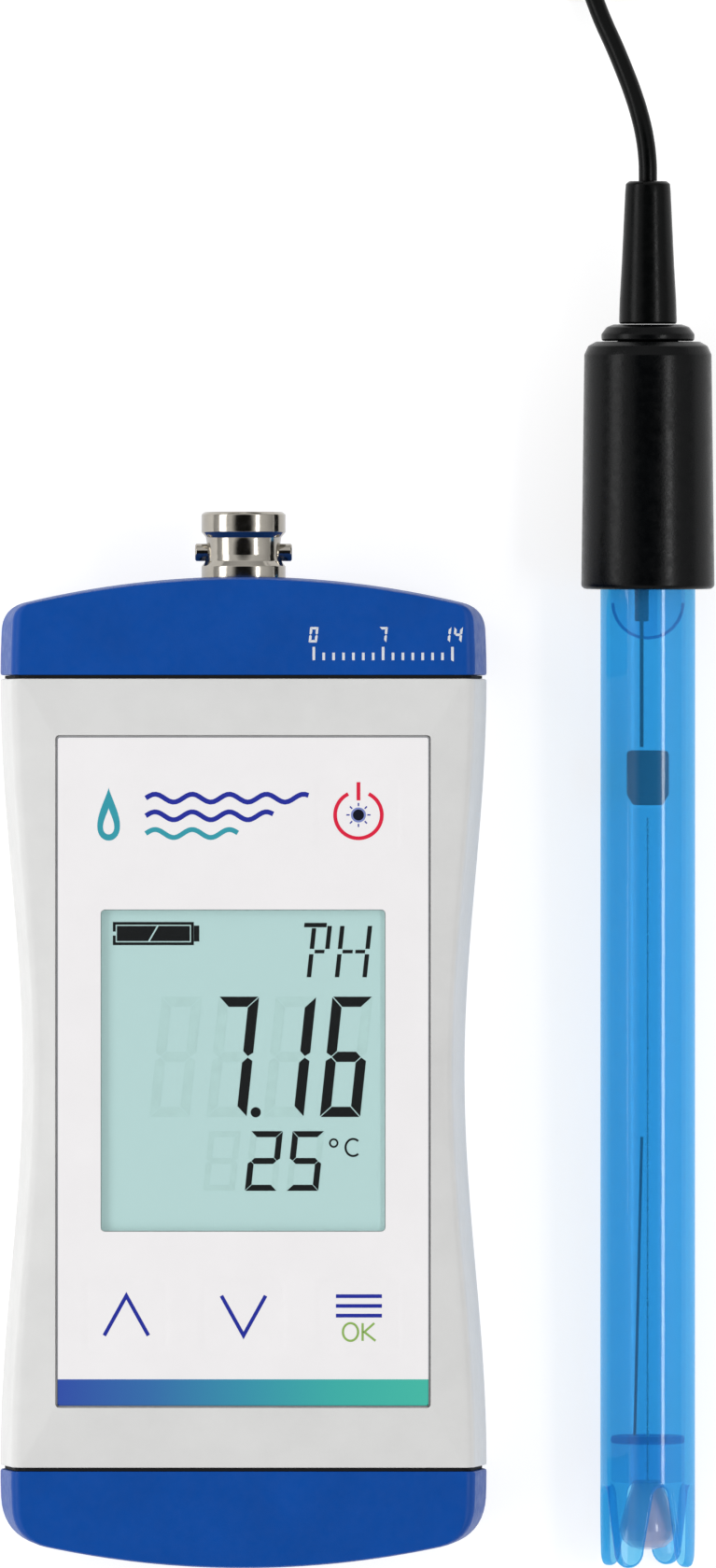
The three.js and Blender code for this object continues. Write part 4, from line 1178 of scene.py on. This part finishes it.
def make_electrode():
    length = GRIP_LENGTH
    grip = [
        (5.6, 0.5), (6.5, 0), (7.25, 0), (7.6, 0.35), (7.58, 0.9), (7.25, length - 1.5), (6.8, length - 0.5),
        (5.9, length), (3.4, length), (3.4, 6.3), (5.6, 6.3),
    ]
    turned("grip", grip, GRIP_PLASTIC, "electrode_grip", slot="black_plastic", sides=112, round_off=0.5)
    base = length + 0.05
    collar = [
        (1.3, 24), (3.2, 24), (3.2, base), (5.3, base), (5.3, base + 0.8), (4.7, base + 1.6),
        (3.9, base + 1.9), (1.3, base + 1.9),
    ]
    turned("collar", collar, GRIP_PLASTIC, "grip_collar", slot="black_plastic", sides=96, round_off=0.4)
    relief = [
        (1.1, 30.15), (3.3, 30.15), (3.22, 32.8), (2.98, 37.0), (2.6, 45.2), (2.52, 46.1), (2.1, 46.4),
        (1.1, 46.4),
    ]
    turned("cable_relief", relief, CABLE_PVC, "strain_relief", slot="cable_pvc", sides=64, round_off=0.3)
    resin = [(1.1, 5.9), (4.2, 5.9)] + arc(0, RESIN_END, 4.2, 0, -math.degrees(math.acos(1.1 / 4.2)), 12)
    turned("resin", resin, RESIN, "potting_plug", slot="potting", round_off=0)
    meniscus = [(x, y, 0) for x, y in arc(0, RESIN_END, 4.0, 0, -180, 12)]
    show(sweep("meniscus", meniscus, 0.18, DEEP_BLUE, place=ELECTRODE_FRAME), "electrode", slot="potting")
    bung = [(0, -18.4), (2.4, -18.4), (2.4, -23.4), (1.7, -24.6), (0, -24.6)]
    turned("bung", bung, DARK_SEAL, "stem_bung", slot="black_rubber", round_off=0.5)
    lead = [(0, -18.0), (0.22, -18.0), (0.22, -3.7), (0.8, -3.7), (0.8, 23.6), (0, 23.6)]
    aside = ELECTRODE_FRAME @ Matrix.Translation((-0.7, 0, 0))
    turned("lead", lead, CABLE_PVC, "inner_lead", place=aside, slot="cable_pvc", sides=32)
    junction = [(1.95, -101.7), (4.15, -101.7), (4.15, -96.8), (1.95, -96.8)]
    turned("junction", junction, BLUE_BAND, "junction_plug", slot="blue_shaft", round_off=0.3)
    ring = [(2.2, -97.3), (4.2, -97.3), (4.2, -96.4), (2.2, -96.4)]
    turned("junction_ring", ring, DEEP_BLUE, slot="blue_shaft", round_off=0.3)
    wall = 0.3
    stem = [(0, -25), (1.7, -25), (1.7, -101.4), (0, -101.4)]
    turned("stem", stem, STEM_GLASS, "glass_bulb", slot="bulb_glass", round_off=0)
    blown = [(1.7, -101.5), (1.95, -102.5), (2.45, -103.8), (2.85, -105.3), (3.2, -106.6), (3.25, -107.2),
             (2.9, -108.3), (2.0, -109.1), (1.0, -109.35)]
    inside = [(r - wall, y + (wall if i > 2 else 0)) for i, (r, y) in enumerate(blown)][::-1]
    glass = [(0, -109.4 + wall)] + inside + blown + [(0, -109.4)]
    turned("bulb", glass, BULB_GLASS, slot="bulb_glass", round_off=0.4)
    wire = sweep("bulb_lead", [(0, -105.3, 0), (0, -26, 0)], 0.12, STEEL, place=ELECTRODE_FRAME)
    show(wire, "electrode", "bulb_wire", slot="silver")
    route = [(-0.7, -62.3, 2.2), (-0.9, -71, 2.2), (-1.1, -79.5, 2.15), (-1.3, -88, 2.12), (-1.5, -96.3, 2.1)]
    wire = sweep("silver_lead", route, 0.17, SILVER, place=ELECTRODE_FRAME)
    show(wire, "electrode", "reference_wire", slot="silver")


# ---------------------------------------------------------------- the plug

PLUG_FRAME = Matrix.Translation((-1.5, 150.0, 7.3)) @ Matrix.Rotation(math.pi / 2, 4, "Z")
NUT_RADIUS, NUT_FROM, PLUG_LENGTH = 7.2, 19.0, 32.0


def make_plug():
    place = PLUG_FRAME
    boot = [(1.1, 0), (2.0, 0), (2.35, 0.6)]
    for k in range(6):
        y = 1.6 + 1.45 * k
        rib, groove = 2.5 + 0.13 * y, 2.2 + 0.13 * y
        boot += [(rib, y), (rib, y + 0.8), (groove, y + 0.9), (groove, y + 1.35)]
    boot += [(3.7, 10.4), (3.7, 11), (1.1, 11)]
    turned("boot", boot, CABLE_PVC, "plug_boot", place=place, slot="cable_pvc", round_off=0.15)
    body = [
        (2.6, 31), (3.9, 31), (3.9, 21.5), (3.5, 21.5), (3.5, 18.4), (4.6, 18.4), (4.6, 16.4),
        (4.1, 16.0), (4.1, 11.1), (1.3, 11.1), (1.3, 20.2), (2.6, 20.2),
    ]
    turned("plug_barrel", body, NICKEL, "plug_body", place=place, slot="nickel", round_off=0.12)
    sleeve = [(1.0, 20.4), (2.5, 20.4), (2.5, 25.4), (1.0, 25.4)]
    turned("plug_sleeve", sleeve, PTFE, "plug_insulator", place=place, slot="white_insulator",
           round_off=0.1)
    pin = [(0, 20.6), (0.9, 20.6), (0.9, 25.2), (0.68, 25.6), (0.68, 29.6), (0.3, 30.3), (0, 30.4)]
    turned("plug_contact", pin, GOLD, "plug_pin", place=place, slot="brass", sides=32, round_off=0.1)
    make_nut(place)


def make_nut(place):
    """The coupling nut: knurled grip, smooth skirt, and the grooves that lead to its two catches."""
    r, y0, length = NUT_RADIUS, NUT_FROM, PLUG_LENGTH
    profile = [
        (3.65, y0), (6.6, y0), (r, y0 + 0.6), (r, y0 + 6.4), (6.7, y0 + 7.2), (6.7, length - 0.4),
        (6.4, length), (5.0, length), (5.0, y0 + 2.2), (3.65, y0 + 2.2),
    ]
    nut = lathe("coupling_nut", profile, NICKEL, place, sides=96, round_off=0.15)
    knurls = 24
    for k in range(knurls):
        turn = 2 * math.pi * k / knurls
        x, z = (r + 0.2) * math.cos(turn), (r + 0.2) * math.sin(turn)
        carve(nut, sweep("knurl", [(x, y0 - 1, z), (x, y0 + 6.0, z)], 0.5, NICKEL, 10, place))
    catch, width, sweep_angle, steps = length - 4.6, 1.15, math.radians(55), 8
    for side in (-1, 1):
        hole = [(side * 4.0, catch, 0), (side * 8.0, catch, 0)]
        carve(nut, sweep("catch", hole, width, NICKEL, 24, place))
        first = math.radians(90 - 90 * side)
        for k in range(steps + 1):
            turn = first - sweep_angle * k / steps
            depth = catch + (2.0 * k / steps if k < steps else 0)
            reach = [(math.cos(turn) * q, depth, math.sin(turn) * q) for q in (4.4, 5.9)]
            carve(nut, sweep("ramp", reach, width, NICKEL, 14, place))
        turn = first - sweep_angle
        way = Vector((math.cos(turn), 0, math.sin(turn)))
        line = [tuple(way * 5.2 + Vector((0, y, 0))) for y in (catch + 1.5, length + 1)]
        carve(nut, sweep("groove", line, 1.1, NICKEL, 14, place))
    show(nut, "plug_nut", "plug_nut", slot="nickel")


# ---------------------------------------------------------------- what stays as the CAD made it


def finish_nodes():
    looks = {
        "case_seal": DARK_SEAL, "bottom_seal": DARK_SEAL, "jack_seal": RUBBER, "zebra_strip": RUBBER,
        "lcd_frame": DARK_PLASTIC, "battery_tray": DARK_PLASTIC, "backlight": WHITE_DIFFUSER,
        "circuit_board": solder_mask(), "microcontroller": CHIP_EPOXY, "input_amplifier": CHIP_EPOXY,
        "contact_spring": STEEL, "contact_plate": STEEL, "contact_bridge": STEEL, "jack_nut": NICKEL,
        "signal_wire": CABLE_PVC, "cap_screw_left": STEEL, "cap_screw_right": STEEL,
    }
    looks.update(dict.fromkeys(["cell_left", "cell_right"], battery_jacket()))
    looks.update({f"case_screw_{k + 1}": STEEL for k in range(4)})
    looks.update({"switch_" + name: CHIP_EPOXY for name in KEYS})
    for name, material in looks.items():
        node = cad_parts[name]
        node.data.materials.clear()
        node.data.materials.append(material)


# ---------------------------------------------------------------- light and floor


FLOOR_HALF = 3.0
# (height, brightness) from straight below to straight overhead, where it is dark.
SKY = [(0.0, 0.42), (0.5, 0.75), (0.82, 0.85), (0.94, 0.01)]
# (name, place in metres, width, length along the electrode, watts)
LAMPS = [
    ("strip", (0.65, -0.01, 0.8), 0.13, 0.5, 2.2),
    ("side", (-0.72, 0.05, 0.45), 0.3, 1.3, 4.3),
]
LAMP_AIM = (0.02, 0.03, 0)


def make_floor():
    """A matt white table that glows a little, like a light box."""
    finish = Finish("floor_light_box", 0.9, Specular_IOR_Level=0.1)
    finish.tint((0.42, 0.42, 0.42, 1), 0.004, 3)
    finish.shader.inputs["Emission Color"].default_value = (1, 1, 1, 1)
    finish.shader.inputs["Emission Strength"].default_value = 0.72
    corners = [(x * FLOOR_HALF, y * FLOOR_HALF, 0) for x, y in ((-1, -1), (1, -1), (1, 1), (-1, 1))]
    data = bpy.data.meshes.new("floor")
    data.from_pydata(corners, [], [(0, 1, 2, 3)])
    data.materials.append(finish.material)
    floor = link("floor", data)
    floor.location.z = -0.02 * MM


def make_sky():
    """Even light from all sides and a dark patch overhead, which keeps glare off the flat faces."""
    world = bpy.data.worlds.new("studio")
    world.use_nodes = True
    nodes, links = world.node_tree.nodes, world.node_tree.links
    place = nodes.new("ShaderNodeTexCoord")
    split = nodes.new("ShaderNodeSeparateXYZ")
    ramp = nodes.new("ShaderNodeValToRGB")
    stops = ramp.color_ramp.elements
    stops.remove(stops[1])
    stops[0].color = shade((1, 1, 1), SKY[0][1])
    for height, level in SKY[1:]:
        stops.new(height).color = shade((1, 1, 1), level)
    links.new(place.outputs["Generated"], split.inputs["Vector"])
    links.new(split.outputs["Z"], ramp.inputs["Fac"])
    links.new(ramp.outputs["Color"], nodes["Background"].inputs["Color"])
    nodes["Background"].inputs["Strength"].default_value = 1.15
    bpy.context.scene.world = world


def make_lamps():
    for name, spot, width, length, power in LAMPS:
        data = bpy.data.lights.new(name, "AREA")
        data.shape = "RECTANGLE"
        data.size = length
        data.size_y = width
        data.energy = power
        lamp = link(name, data)
        lamp.location = spot
        aim = Vector(LAMP_AIM) - Vector(spot)
        lamp.rotation_euler = aim.to_track_quat("-Z", "Y").to_euler()


def make_stage():
    make_floor()
    make_sky()
    make_lamps()
    scene = bpy.context.scene
    scene.view_settings.view_transform = "Standard"
    scene.cycles.transparent_max_bounces = 32  # the electrode has many clear walls behind each other


cable, cable_route = make_cable()
make_front_shell()
make_rear_shell()
make_top_cap()
make_bottom_cap()
make_foil()
for key_name in KEYS:
    make_key(key_name)
print_power_key()
print_arrow_keys()
print_menu_key()
print_emblem()
print_scale()
make_display()
make_jack()
make_shaft()
make_electrode()
make_plug()
finish_nodes()
make_stage()

bpy.context.view_layer.update()
